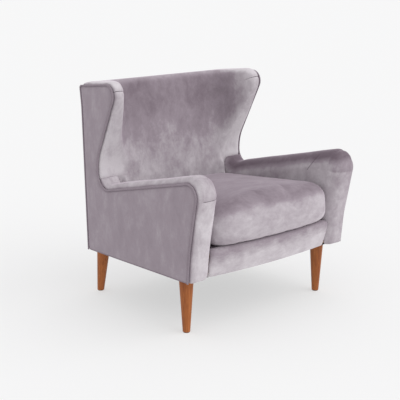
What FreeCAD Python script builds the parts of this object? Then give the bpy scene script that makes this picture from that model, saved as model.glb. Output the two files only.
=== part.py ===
import FreeCAD, Part
import math
import os
import Sketcher

# Wingback armchair: a timber frame on four turned legs, padded and covered in velvet, with a loose seat
# cushion. Millimetres. +Z is up, the sitter faces -Y, +X is the sitter's left hand. The origin is on the floor,
# under the middle of the chair's box. Each side of the chair is one flat plane, and the two planes draw in
# towards the back.

# Driving dimensions: name, value, meaning. A value that starts with = is worked out from the ones above it.
SIZES = [
    # The side's outline, which the piping follows: corners as distance back (y) and height (z), and their radii
    ("base_front_y", -305, "front bottom corner of the side"),
    ("base_front_z", 212, "height of that corner"),
    ("base_rear_y", 339, "rear bottom corner of the side"),
    ("base_rear_z", 183, "height of that corner"),
    ("rear_top_y", 366, "rear top corner"),
    ("rear_top_z", 830, "height of that corner"),
    ("rear_kick_y", 356, "where the rear edge starts to lean back"),
    ("rear_kick_drop", 78, "from the rear top corner down to that point"),
    ("rear_kick_z", "=rear_top_z - rear_kick_drop", "height of that point"),
    ("wing_tip_y", 110, "front top corner of the wing, before rounding"),
    ("wing_tip_rise", 29, "from the rear top corner up to the wing's tip"),
    ("wing_tip_z", "=rear_top_z + wing_tip_rise", "height of that corner"),
    ("waist_y", 256, "deepest point of the scoop between wing and arm"),
    ("waist_high_z", 561, "where the wing's front edge meets the scoop"),
    ("waist_low_z", 434, "where the arm's top edge meets the scoop, before rounding"),
    ("arm_nose_y", -365, "front top corner of the arm, before rounding"),
    ("arm_nose_z", 580, "height of that corner"),
    ("front_knee_y", -316, "where the arm's front edge turns forward"),
    ("front_knee_z", 330, "height of that point"),
    ("base_front_radius", 10, "rounding of the front bottom corner"),
    ("base_rear_radius", 12, "rounding of the rear bottom corner"),
    ("rear_kick_radius", 250, "bend of the rear edge"),
    ("rear_top_radius", 8, "rounding of the rear top corner"),
    ("wing_tip_radius", 41, "rounding of the wing's tip"),
    ("waist_high_radius", 200, "bend from the wing's front edge into the scoop"),
    ("waist_low_radius", 60, "bend from the scoop onto the arm"),
    ("arm_nose_radius", 45, "rounding of the arm's nose"),
    ("front_knee_radius", 600, "bend of the arm's front edge"),
    # Plan of the sides
    ("half_width", 385, "from the middle to a side's outer plane, at y = 0"),
    ("plan_taper", 2.77, "angle that each side draws in towards the back"),
    # Padding and covers; depths into a side are measured from its outer plane
    ("crown", 12, "how far the padding rises outside the piping"),
    ("panel_thickness", 6, "padded outer panels"),
    ("piping_radius", 3.3, "covered cord along the side's edge"),
    ("fit_gap", 0.3, "clearance between soft pieces"),
    ("cover_thickness", 2, "velvet with its backing"),
    ("frame_inset", 16, "padding between the piping line and the timber"),
    ("frame_gap", 1, "clearance between the padding and the timber's edges"),
    ("arm_crease", 5, "crease between an arm's inside face and the inside back"),
    ("arm_thickness", 106, "depth of an arm, from outer plane to inside face"),
    ("arm_inner_radius", 48, "roll of the arm's inside edge"),
    ("seam_y", 251, "where the arm's padding ends against the wing's"),
    ("seam_z", 487, "height of that seam"),
    # Inside back and wings
    ("back_face_y", 232.5, "inside back at the seat, in front of the spine"),
    ("back_face_z", 425, "height at which back_face_y is measured"),
    ("back_rake", 8, "lean of the inside back"),
    ("wing_front_depth", 64, "from half_width in to a wing's inside face at its front edge, near the top"),
    ("wing_half_opening", "=half_width - wing_front_depth", "half width between the wings' front edges"),
    ("wing_opening_y", 143, "where that opening is measured"),
    ("wing_opening_drop", 49, "from the wing's tip down to that point"),
    ("wing_opening_z", "=wing_tip_z - wing_opening_drop", "height of that point"),
    ("wing_splay", 24.2, "angle of a wing's inside face to straight ahead"),
    ("wing_flare", 2.9, "lean of a wing's inside face outwards"),
    ("back_corner_radius", 90, "bend from the inside back into a wing"),
    ("wing_edge_radius", 26, "roll of the wing's inside edge"),
    ("wing_roll_z", 600, "height at which that roll begins"),
    ("back_bottom_z", 281, "lower edge of the inside back's padding"),
    ("wing_pad_depth", 163, "from half_width in to where a wing's padding meets the inside back's"),
    ("back_pad_half_width", "=half_width - wing_pad_depth", "from the middle to the wing pads"),
    # Frame timber
    ("board_outer_depth", 6, "depth at which the timber starts, behind the outer panel"),
    ("board_inner_depth", 70, "depth at which posts and arm boards end"),
    ("rail_inner_depth", 98, "inside face of the seat's side rails"),
    ("side_rail_thickness", 28, "bottom rail of the arm frame"),
    ("post_depth", 30, "posts, front to back"),
    ("arm_rail_thickness", 22, "board under the arm's top"),
    ("arm_rail_setback", 48, "from the arm's nose back to the arm board"),
    ("arm_board_thickness", 3, "hardboard behind the inside arm's padding"),
    ("wing_ply_thickness", 18, "plywood wing"),
    ("wing_ply_reach", 60, "how far ahead of the wing's front top corner the plywood may reach"),
    ("base_rail_height", 45, "bottom rail of the arm frame"),
    ("corner_block_height", 50, "glued block that takes a leg"),
    ("corner_block_length", 72, "glued block, front to back"),
    ("post_top_gap", 4, "from the side's rear top corner down to the back posts' ends"),
    ("post_top_z", "=rear_top_z - post_top_gap", "upper end of the back posts"),
    ("crest_rail_height", 62, "top rail of the back"),
    ("crest_rail_gap", 4, "top rail's upper edge below the posts' ends"),
    ("lumbar_rail_z", 372, "lower edge of the back's lower rail"),
    ("lumbar_rail_height", 60, "lower rail of the back"),
    # Seat: the deck's slope starts at the front rail
    ("deck_front_y", -325, "where the height of the deck is measured"),
    ("deck_front_z", 307, "top of the seat rails there"),
    ("deck_rear_y", 310, "where the deck's rear height is measured"),
    ("deck_rear_z", 251, "top of the seat rails there"),
    ("rail_front_y", -322, "front face of the padded front rail, bottom edge, middle"),
    ("rail_lean", 15, "forward lean of the front rail's face"),
    ("rail_bow", 20, "how far the middle of the front rail stands ahead of its ends"),
    ("rail_end_inset", 81, "from half_width in to the end of the padded front rail"),
    ("rail_half_width", "=half_width - rail_end_inset", "half the padded front rail's width"),
    ("rail_corner_radius", 20, "rounding of its ends"),
    ("rail_roll_radius", 14, "rounding of its top edge"),
    ("rail_padding", 19, "padding in front of the front rail"),
    ("rail_cover", 14, "padding over the front rail"),
    ("rail_padding_rear_y", -292, "where the padding over the front rail ends"),
    ("front_rail_thickness", 30, "front rail's timber at its ends"),
    ("spring_count", 5, "strips of sinuous spring"),
    ("spring_wire", 3.6, "spring wire"),
    ("spring_half_width", 24, "half the width of a strip"),
    ("spring_pitch", 29.5, "from one run of wire to the next"),
    ("spring_spacing", 104, "from one strip to the next"),
    ("spring_runs", 20, "gaps between the runs of wire in one strip"),
    ("spring_inset", 48, "first run of wire behind deck_front_y, along the slope"),
    ("clip_length", 26, "steel clip across a spring's end"),
    ("clip_wall", 1.5, "steel of a clip"),
    ("insulator_thickness", 1.5, "hessian over the springs"),
    ("deck_pad_thickness", 8, "felt pad under the cushion"),
    ("dust_cover_thickness", 1.2, "black cloth under the seat"),
    ("dust_cover_inset", 14, "from the side's outer plane to the cloth's edge"),
    ("webbing_width", 50, "strap of the back's webbing"),
    ("webbing_thickness", 1.6, "strap of the back's webbing"),
    ("webbing_pitch", 92, "from one strap to the next"),
    ("webbing_low_z", 462, "lower edge of the lowest strap"),
    ("webbing_count", 3, "straps"),
    # Loose cushion, in its own slope
    ("cushion_overhang", 53, "nose of the cushion ahead of deck_front_y, along the slope"),
    ("cushion_bow", 17, "how far the nose stands ahead of the front corners"),
    ("cushion_length", 584, "nose to rear face"),
    ("cushion_edge_height", 142, "height of the cushion at its sides"),
    ("cushion_crown", 18, "extra height in the middle"),
    ("cushion_side_gap", 1, "clearance to each arm"),
    ("cushion_nose_radius", 38, "rounding of the upper edges"),
    ("cushion_edge_radius", 26, "rounding of the lower edges"),
    ("cushion_corner", 42, "rounding of the corners, seen from above"),
    ("cushion_rest_gap", 0.4, "clearance under the cushion"),
    ("zip_width", 24, "zip tape across the cushion's rear"),
    ("zip_end_inset", 170, "from half_width in to an end of the zip"),
    ("zip_length", "=2 * (half_width - zip_end_inset)", "zip tape across the cushion's rear"),
    ("zip_thickness", 1.2, "zip tape with its teeth"),
    ("zip_height", 66, "middle of the zip above the cushion's underside"),
    ("slider_length", 12, "zip slider"),
    ("slider_width", 9, "zip slider"),
    ("slider_thickness", 2.4, "zip slider"),
    ("puller_length", 26, "tab that hangs from the slider"),
    # Legs
    ("leg_foot_radius", 13.5, "leg at the floor"),
    ("leg_top_radius", 27.5, "leg under the seat"),
    ("leg_length", 215, "length over which a leg tapers"),
    ("front_leg_inset", 44, "from half_width in to a front leg's foot"),
    ("front_leg_x", "=half_width - front_leg_inset", "front leg's foot, from the middle"),
    ("front_leg_setback", 73, "from the side's front bottom corner back to the front leg's foot"),
    ("front_leg_y", "=base_front_y + front_leg_setback", "front leg's foot"),
    ("rear_leg_inset", 73, "from half_width in to a rear leg's foot"),
    ("rear_leg_x", "=half_width - rear_leg_inset", "rear leg's foot, from the middle"),
    ("rear_leg_reach", 1, "from the side's rear bottom corner back to the rear leg's foot"),
    ("rear_leg_y", "=base_rear_y + rear_leg_reach", "rear leg's foot"),
    ("rear_leg_rake", 8.5, "lean of the rear legs"),
    ("glide_radius", 11, "felt glide under a leg"),
    ("glide_thickness", 3, "felt glide under a leg"),
    ("bolt_radius", 4, "hanger bolt"),
    ("bolt_in_leg", 38, "length of the bolt inside the leg"),
    ("bolt_in_frame", 34, "length of the bolt above the leg"),
    ("bolt_gap", 0.3, "clearance round a bolt"),
    ("insert_radius", 7, "threaded insert in a corner block"),
    ("insert_length", 18, "threaded insert in a corner block"),
    ("insert_setback", 1.5, "insert's lower end above the corner block's underside"),
]

doc = FreeCAD.newDocument("wingback_armchair")
sheet = doc.addObject("Spreadsheet::Sheet", "Sizes")
for row, (alias, value, meaning) in enumerate(SIZES, start=1):
    sheet.set("A%d" % row, alias)
    sheet.set("B%d" % row, str(value))
    sheet.set("C%d" % row, meaning)
    sheet.setAlias("B%d" % row, alias)
doc.recompute()

NODES = {}
LEFT, RIGHT = -1, 1
NEAR = 0.01    # points closer than this to a face lie on it
MARGIN = 100   # how far cutters and drawn-through solids reach past the model
SAMPLES = 5    # points tried along an edge
SIDES = {"left": LEFT, "right": RIGHT}


class Dimensions:
    """The sheet's cells by name: size.crown is the number in the cell called crown."""

    def __getattr__(self, alias):
        return float(sheet.get(alias))


size = Dimensions()
FAR = 2 * size.half_width   # a length greater than any of the chair's, for cutters


def vector(x, y, z):
    return FreeCAD.Vector(x, y, z)


def tangent(degrees):
    return math.tan(math.radians(degrees))


# Lines of the side view, as numbers

def between(at, from_at, from_value, to_at, to_value):
    """The straight line through two points, read off at a third place."""
    return from_value + (at - from_at) * (to_value - from_value) / (to_at - from_at)


def base_z(y):
    return between(y, size.base_front_y, size.base_front_z, size.base_rear_y, size.base_rear_z)


def deck_z(y):
    return between(y, size.deck_front_y, size.deck_front_z, size.deck_rear_y, size.deck_rear_z)


def rear_y(z):
    return between(z, size.base_rear_z, size.base_rear_y, size.rear_kick_z, size.rear_kick_y)


def arm_z(y):
    return between(y, size.arm_nose_y, size.arm_nose_z, size.waist_y, size.waist_low_z)


def back_face_at(z):
    return size.back_face_y + tangent(size.back_rake) * (z - size.back_face_z)


def outer_x(y, depth):
    """Distance from the middle to a plane that lies inside a side's outer plane by the given depth."""
    return size.half_width - tangent(size.plan_taper) * y - depth / math.cos(math.radians(size.plan_taper))


# The same lines as expressions, for sketches

def line_expression(at, from_at, from_value, to_at, to_value):
    parts = {"at": at, "from_at": from_at, "from": from_value, "to_at": to_at, "to": to_value}
    parts = {key: text if key == "at" else "Sizes." + text for key, text in parts.items()}
    return "({from} + (({at}) - {from_at}) * ({to} - {from}) / ({to_at} - {from_at}))".format(**parts)


def base_line(y):
    return line_expression(y, "base_front_y", "base_front_z", "base_rear_y", "base_rear_z")


def deck_line(y):
    return line_expression(y, "deck_front_y", "deck_front_z", "deck_rear_y", "deck_rear_z")


def rear_line(z):
    return line_expression(z, "base_rear_z", "base_rear_y", "rear_kick_z", "rear_kick_y")


def kick_line(z):
    return line_expression(z, "rear_kick_z", "rear_kick_y", "rear_top_z", "rear_top_y")


def nose_line(z):
    return line_expression(z, "front_knee_z", "front_knee_y", "arm_nose_z", "arm_nose_y")


def arm_line(y):
    return line_expression(y, "arm_nose_y", "arm_nose_z", "waist_y", "waist_low_z")


# Faces and outlines

def rounded_wire(corners):
    """A closed wire in the side view through (y, z, radius) corners: straight runs joined by tangent arcs."""
    points = [vector(0, y, z) for y, z, radius in corners]
    arcs = []
    for index, (y, z, radius) in enumerate(corners):
        here = points[index]
        back = (points[index - 1] - here).normalize()
        ahead = (points[(index + 1) % len(points)] - here).normalize()
        half_angle = back.getAngle(ahead) / 2
        reach = radius / math.tan(half_angle)
        middle = here + (back + ahead).normalize() * (radius / math.sin(half_angle) - radius)
        arcs.append((here + back * reach, middle, here + ahead * reach))
    edges = []
    for index, (start, middle, end) in enumerate(arcs):
        edges.append(Part.Arc(start, middle, end).toShape())
        next_start = arcs[(index + 1) % len(arcs)][0]
        edges.append(Part.LineSegment(end, next_start).toShape())
    return Part.Wire(edges)


def side_corners():
    return [
        (size.base_rear_y, size.base_rear_z, size.base_rear_radius),
        (size.rear_kick_y, size.rear_kick_z, size.rear_kick_radius),
        (size.rear_top_y, size.rear_top_z, size.rear_top_radius),
        (size.wing_tip_y, size.wing_tip_z, size.wing_tip_radius),
        (size.waist_y, size.waist_high_z, size.waist_high_radius),
        (size.waist_y, size.waist_low_z, size.waist_low_radius),
        (size.arm_nose_y, size.arm_nose_z, size.arm_nose_radius),
        (size.front_knee_y, size.front_knee_z, size.front_knee_radius),
        (size.base_front_y, size.base_front_z, size.base_front_radius),
    ]


def side_face(offset=0.0):
    """The side's outline as a face, grown outwards by offset, or drawn in where offset is negative."""
    face = Part.Face(rounded_wire(side_corners()))
    if abs(offset) > 0:
        face = face.makeOffset2D(offset)
    return face


def polygon_face(points):
    """A flat face through (y, z) points of the side view."""
    corners = [vector(0, y, z) for y, z in points]
    return Part.Face(Part.makePolygon(corners + corners[:1]))


def across(face, half_span):
    """A side view face stretched over the chair's width, evenly about the middle."""
    return face.translated(vector(-half_span, 0, 0)).extrude(vector(2 * half_span, 0, 0))


def slab(face, side, depth_from, depth_to):
    """A side view face stretched between two depths of one side, in that side's own frame."""
    start = face.translated(vector(-side * depth_from, 0, 0))
    return start.extrude(vector(-side * (depth_to - depth_from), 0, 0))


def side_placement(side):
    turn = FreeCAD.Rotation(vector(0, 0, 1), side * size.plan_taper)
    return FreeCAD.Placement(vector(side * size.half_width, 0, 0), turn)


def placed(shape, placement):
    moved = shape.copy()
    moved.Placement = placement.multiply(moved.Placement)
    return moved


def edges_where(shape, test):
    """Edges of a shape whose sampled points all pass the test."""
    chosen = []
    for edge in shape.Edges:
        points = edge.discretize(Number=SAMPLES)
        if all(test(point) for point in points):
            chosen.append(edge)
    return chosen


# Document objects

def add_node(label, item):
    item.Label = label
    NODES[label] = item
    return item


def add_shape(label, shape, placement=None):
    """A piece whose shape is worked out above, as one object of the document."""
    item = doc.addObject("Part::Feature", label)
    item.Shape = shape
    if placement is not None:
        item.Placement = placement
    return add_node(label, item)


def evaluate(expression):
    return float(sheet.evalExpression(expression))


def add_profile(body, name, corners, plane_role, offset="0"):
    """A closed sketch on one of the body's own planes; each corner is held by two expressions."""
    sketch = body.newObject("Sketcher::SketchObject", name)
    plane = [item for item in body.Origin.OriginFeatures if item.Role == plane_role][0]
    sketch.AttachmentSupport = (plane, [""])
    sketch.MapMode = "FlatFace"
    sketch.setExpression("AttachmentOffset.Base.z", offset)
    points = [vector(evaluate(across_text), evaluate(up_text), 0) for across_text, up_text in corners]
    count = len(points)
    for index in range(count):
        sketch.addGeometry(Part.LineSegment(points[index], points[(index + 1) % count]), False)
    for index in range(count):
        sketch.addConstraint(Sketcher.Constraint("Coincident", index, 2, (index + 1) % count, 1))
    for index, (across_text, up_text) in enumerate(corners):
        held = (("DistanceX", points[index].x, across_text), ("DistanceY", points[index].y, up_text))
        for kind, number, expression in held:
            constraint = sketch.addConstraint(Sketcher.Constraint(kind, -1, 1, index, 1, number))
            sketch.setExpression("Constraints[%d]" % constraint, expression)
    return sketch


def board(label, corners, start, thickness, side=None):
    """A board cut to a profile of the side view. A board of one side lies in that side's own frame."""
    body = doc.addObject("PartDesign::Body", label)
    sketch = add_profile(body, label + "_profile", corners, "YZ_Plane", start)
    pad = body.newObject("PartDesign::Pad", label + "_pad")
    pad.Profile = sketch
    pad.setExpression("Length", thickness)
    if side is not None:
        body.Placement.Rotation = FreeCAD.Rotation(vector(0, 0, side), 1)
        body.setExpression("Placement.Base.x", "%d * Sizes.half_width" % side)
        body.setExpression("Placement.Rotation.Angle", "Sizes.plan_taper")
    return body


def side_board(label, corners, depth_from, depth_to, side):
    """A board between two depths of one side."""
    start = depth_from if side == LEFT else "-(%s)" % depth_to
    return board(label, corners, start, "(%s) - (%s)" % (depth_to, depth_from), side)


def add_board(label, corners, start, thickness):
    return add_node(label, board(label, corners, start, thickness))


def add_side_board(name, corners, depth_from, depth_to):
    """The left and right boards of one kind."""
    for word, side in SIDES.items():
        label = "%s_%s" % (name, word)
        add_node(label, side_board(label, corners, depth_from, depth_to, side))


# Seat frame: side rails between the front and the rear rail, and the arm frames' bottom rails outside them

REAR_FACE = "Sizes.panel_thickness + Sizes.fit_gap"
POST_FRONT = "Sizes.panel_thickness + Sizes.fit_gap + Sizes.post_depth"
arm_post_rear_low = "Sizes.base_front_y + Sizes.frame_inset + Sizes.post_depth"
back_post_front_low = "Sizes.base_rear_y - (%s)" % POST_FRONT
rear_face_low = "Sizes.base_rear_y - (%s)" % REAR_FACE

add_side_board(
    "arm_base_rail",
    [
        (arm_post_rear_low, base_line(arm_post_rear_low)),
        (rear_face_low, base_line(rear_face_low)),
        (rear_face_low, base_line(rear_face_low) + " + Sizes.base_rail_height"),
        (arm_post_rear_low, base_line(arm_post_rear_low) + " + Sizes.base_rail_height"),
    ],
    "Sizes.board_outer_depth",
    "Sizes.board_outer_depth + Sizes.side_rail_thickness",
)

SPRING_STACK = " + Sizes.spring_wire + Sizes.clip_wall + 2 * Sizes.fit_gap"
front_rail_rear = "Sizes.rail_front_y + Sizes.rail_padding + Sizes.rail_bow + Sizes.front_rail_thickness"
turned = "((%s) + Sizes.%s * sin(Sizes.plan_taper)) / cos(Sizes.plan_taper)"
side_rail_front = turned % (front_rail_rear, "rail_inner_depth")
side_rail_rear = turned % (back_post_front_low, "board_inner_depth")
add_side_board(
    "seat_side_rail",
    [
        (side_rail_front, base_line(side_rail_front)),
        (side_rail_rear, base_line(side_rail_rear)),
        (side_rail_rear, deck_line(side_rail_rear) + SPRING_STACK),
        (side_rail_front, deck_line(side_rail_front) + SPRING_STACK),
    ],
    "Sizes.board_inner_depth",
    "Sizes.rail_inner_depth",
)

rear_rail_width = (
    "2 * (Sizes.half_width - Sizes.base_rear_y * tan(Sizes.plan_taper)"
    " - Sizes.board_inner_depth / cos(Sizes.plan_taper))"
)
add_board(
    "seat_rear_rail",
    [
        (back_post_front_low, base_line(back_post_front_low)),
        (rear_face_low, base_line(rear_face_low)),
        (rear_face_low, deck_line(rear_face_low)),
        (back_post_front_low, deck_line(back_post_front_low)),
    ],
    "-(%s) / 2" % rear_rail_width,
    rear_rail_width,
)


def bowed_face(front_y, half_width, rear, corner_radius):
    """A plan outline at z = 0 with a bowed front edge, rounded front corners and a straight rear edge."""
    end_y = front_y + size.rail_bow * (half_width / size.rail_half_width) ** 2
    right, left = vector(half_width, end_y, 0), vector(-half_width, end_y, 0)
    front = Part.Arc(left, vector(0, front_y, 0), right).toShape()
    corners = [right, vector(half_width, rear, 0), vector(-half_width, rear, 0), left]
    face = Part.Face(Part.Wire([front] + Part.makePolygon(corners).Edges))
    if corner_radius > 0:
        solid = face.extrude(vector(0, 0, 1))
        uprights = edges_where(solid, lambda point: abs(abs(point.x) - half_width) < NEAR
                               and abs(point.y - end_y) < NEAR)
        solid = solid.makeFillet(corner_radius, uprights)
        face = [item for item in solid.Faces if item.BoundBox.ZMax < 0.5][0]
    return face


def front_rail_form(inset, half_width, corner_radius, cover):
    """The front rail: a bowed outline that leans forward as it rises, from the seat's base to the cover's top."""
    rear = evaluate(front_rail_rear)
    lean = -tangent(size.rail_lean)
    start_z = size.base_rear_z - MARGIN
    rise = size.deck_front_z + MARGIN - start_z
    front_low = size.rail_front_y + inset + lean * (start_z - size.base_front_z)
    plan = bowed_face(front_low, half_width, rear - lean * rise, corner_radius)
    leaning = plan.translated(vector(0, 0, start_z)).extrude(vector(0, lean * rise, rise))
    ahead = front_low + lean * rise - size.crown
    profile = polygon_face([(ahead, base_z(ahead)), (rear, base_z(rear)),
                            (rear, deck_z(rear) + cover), (ahead, deck_z(ahead) + cover)])
    return leaning.common(across(profile, half_width))


def sides_wedge(depth):
    """All the space between two planes that lie inside the sides' outer planes by the given depth."""
    far = size.half_width + MARGIN
    points = [vector(-outer_x(-far, depth), -far, 0), vector(outer_x(-far, depth), -far, 0),
              vector(outer_x(far, depth), far, 0), vector(-outer_x(far, depth), far, 0)]
    face = Part.Face(Part.makePolygon(points + points[:1]))
    return face.extrude(vector(0, 0, size.wing_tip_z + MARGIN))


rail_timber = front_rail_form(size.rail_padding, size.half_width, 0, 0)
add_shape("seat_front_rail", rail_timber.common(sides_wedge(size.board_inner_depth)))

# Arm frames: a front post, a board under the arm's top, and a hardboard panel behind the inside padding

arm_rail_top = " - Sizes.frame_inset"
arm_rail_low = " - Sizes.frame_inset - Sizes.arm_rail_thickness"
arm_rail_front = "Sizes.arm_nose_y + Sizes.arm_rail_setback"
arm_post_top_z = "Sizes.arm_nose_z - 2 * Sizes.frame_inset - Sizes.arm_rail_thickness"
arm_post_top_front = nose_line(arm_post_top_z) + " + Sizes.frame_inset"
arm_post_top_rear = arm_post_top_front + " + Sizes.post_depth"
arm_post_corners = [
    ("Sizes.base_front_y + Sizes.frame_inset", base_line("Sizes.base_front_y + Sizes.frame_inset")),
    (arm_post_rear_low, base_line(arm_post_rear_low)),
    ("Sizes.front_knee_y + Sizes.frame_inset + Sizes.post_depth", "Sizes.front_knee_z"),
    (arm_post_top_rear, arm_line(arm_post_top_rear) + arm_rail_low),
    (arm_post_top_front, arm_line(arm_post_top_front) + arm_rail_low),
    ("Sizes.front_knee_y + Sizes.frame_inset", "Sizes.front_knee_z"),
]
add_side_board("arm_post", arm_post_corners, "Sizes.board_outer_depth", "Sizes.board_inner_depth")

arm_rail_rear = rear_line("Sizes.lumbar_rail_z") + " - (%s)" % POST_FRONT
add_side_board(
    "arm_rail",
    [
        (arm_rail_front, arm_line(arm_rail_front) + arm_rail_low),
        (arm_rail_rear, arm_line(arm_rail_rear) + arm_rail_low),
        (arm_rail_rear, arm_line(arm_rail_rear) + arm_rail_top),
        (arm_rail_front, arm_line(arm_rail_front) + arm_rail_top),
    ],
    "Sizes.board_outer_depth",
    "Sizes.board_inner_depth",
)

board_low = SPRING_STACK + " + Sizes.insulator_thickness"
board_front = "Sizes.front_knee_y + Sizes.frame_inset"
board_rear = "Sizes.seam_y"
add_side_board(
    "inside_arm_board",
    [
        (board_front, deck_line(board_front) + board_low),
        (board_rear, deck_line(board_rear) + board_low),
        (board_rear, arm_line(board_rear) + arm_rail_top),
        (arm_rail_front, arm_line(arm_rail_front) + arm_rail_top),
        (arm_post_top_front, arm_line(arm_post_top_front) + arm_rail_low),
    ],
    "Sizes.board_inner_depth",
    "Sizes.board_inner_depth + Sizes.arm_board_thickness",
)

# Back frame: posts from the corner blocks to the crest, a rail at the top and one behind the sitter's waist

post_foot_z = base_line(back_post_front_low) + " + Sizes.corner_block_height"
add_side_board(
    "back_post",
    [
        (rear_line(post_foot_z) + " - (%s)" % POST_FRONT, post_foot_z),
        (rear_line(post_foot_z) + " - (%s)" % REAR_FACE, post_foot_z),
        ("Sizes.rear_kick_y - (%s)" % REAR_FACE, "Sizes.rear_kick_z"),
        (kick_line("Sizes.post_top_z") + " - (%s)" % REAR_FACE, "Sizes.post_top_z"),
        (kick_line("Sizes.post_top_z") + " - (%s)" % POST_FRONT, "Sizes.post_top_z"),
        ("Sizes.rear_kick_y - (%s)" % POST_FRONT, "Sizes.rear_kick_z"),
    ],
    "Sizes.board_outer_depth",
    "Sizes.board_inner_depth",
)


def cross_rail_width(y):
    """As wide as the gap between the posts at the rail's rear edge, where the gap is narrowest."""
    return ("2 * (Sizes.half_width - (%s) * tan(Sizes.plan_taper)"
            " - Sizes.board_inner_depth / cos(Sizes.plan_taper))" % y)


crest_high = "Sizes.post_top_z - Sizes.crest_rail_gap"
crest_low = "Sizes.post_top_z - Sizes.crest_rail_gap - Sizes.crest_rail_height"
crest_width = cross_rail_width(kick_line(crest_high) + " - (%s)" % REAR_FACE)
add_board(
    "back_crest_rail",
    [
        (kick_line(crest_low) + " - (%s)" % POST_FRONT, crest_low),
        (kick_line(crest_low) + " - (%s)" % REAR_FACE, crest_low),
        (kick_line(crest_high) + " - (%s)" % REAR_FACE, crest_high),
        (kick_line(crest_high) + " - (%s)" % POST_FRONT, crest_high),
    ],
    "-(%s) / 2" % crest_width,
    crest_width,
)

lumbar_high = "Sizes.lumbar_rail_z + Sizes.lumbar_rail_height"
lumbar_rear = rear_line("Sizes.lumbar_rail_z") + " - (%s)" % REAR_FACE
add_board(
    "back_lumbar_rail",
    [
        (lumbar_rear + " - Sizes.post_depth", "Sizes.lumbar_rail_z"),
        (lumbar_rear, "Sizes.lumbar_rail_z"),
        (lumbar_rear, lumbar_high),
        (lumbar_rear + " - Sizes.post_depth", lumbar_high),
    ],
    "-(%s) / 2" % cross_rail_width(lumbar_rear),
    cross_rail_width(lumbar_rear),
)

# Wings: plywood on the arm boards, in front of the back posts

post_front_y = size.panel_thickness + size.fit_gap + size.post_depth
ply_front = size.wing_tip_y - size.wing_ply_reach
ply_rear_low = rear_y(size.lumbar_rail_z) - post_front_y
ply_rear_high = size.rear_kick_y - post_front_y
ply_region = polygon_face([
    (ply_front, arm_z(ply_front) - size.frame_inset),
    (ply_rear_low, arm_z(ply_rear_low) - size.frame_inset),
    (ply_rear_high, size.rear_kick_z),
    (ply_rear_high, size.wing_tip_z + MARGIN),
    (ply_front, size.wing_tip_z + MARGIN)])
wing_ply = side_face(-size.frame_inset).common(ply_region)
wing_outline = wing_ply.Faces[0]
for word, side in SIDES.items():
    solid = slab(wing_outline, side, size.board_outer_depth, size.board_outer_depth + size.wing_ply_thickness)
    add_shape("wing_frame_" + word, solid, side_placement(side))

# Legs: turned cones under the corner blocks, the rear pair raked. Each is held by a hanger bolt in an insert

LEGS = {
    "front_left": (LEFT, "front", "0"),
    "front_right": (RIGHT, "front", "0"),
    "rear_left": (LEFT, "rear", "Sizes.rear_leg_rake"),
    "rear_right": (RIGHT, "rear", "Sizes.rear_leg_rake"),
}
base_slope = "(Sizes.base_front_z - Sizes.base_rear_z) / (Sizes.base_rear_y - Sizes.base_front_y)"


def leg_top(leg):
    """Where a leg's axis meets the seat's base plane, measured along the axis from the floor."""
    side, pair, rake = leg
    return "(%s) / (cos(%s) - %s * sin(%s))" % (base_line("Sizes.%s_leg_y" % pair), rake, base_slope, rake)


def on_leg(kind, label, leg, height, sizes):
    """A primitive on a leg's axis, starting at a height along that axis."""
    side, pair, rake = leg
    item = doc.addObject("Part::" + kind, label)
    for name, expression in sizes.items():
        item.setExpression(name, expression)
    item.Placement.Rotation = FreeCAD.Rotation(vector(1, 0, 0), 1)
    item.setExpression("Placement.Base.x", "%d * Sizes.%s_leg_x" % (side, pair))
    item.setExpression("Placement.Base.y", "Sizes.%s_leg_y - (%s) * sin(%s)" % (pair, height, rake))
    item.setExpression("Placement.Base.z", "(%s) * cos(%s)" % (height, rake))
    item.setExpression("Placement.Rotation.Angle", rake)
    return item


def box_at(label, base, sizes, slope="0"):
    """A box with one corner held by three expressions, tipped down towards the back by a slope."""
    item = doc.addObject("Part::Box", label)
    item.Placement.Rotation = FreeCAD.Rotation(vector(-1, 0, 0), 1)
    item.setExpression("Placement.Rotation.Angle", slope)
    for axis, expression in zip("xyz", base):
        item.setExpression("Placement.Base." + axis, expression)
    for name, expression in zip(("Length", "Width", "Height"), sizes):
        item.setExpression(name, expression)
    return item


def cut(label, base, tools):
    """The base less the tools, as one object of the document."""
    joined = tools[0]
    if len(tools) > 1:
        joined = doc.addObject("Part::MultiFuse", label + "_tools")
        joined.Shapes = tools
    item = doc.addObject("Part::Cut", label)
    item.Base = base
    item.Tool = joined
    return item


def add_group(label, items):
    group = doc.addObject("Part::Compound", label)
    group.Links = items
    return add_node(label, group)


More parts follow.
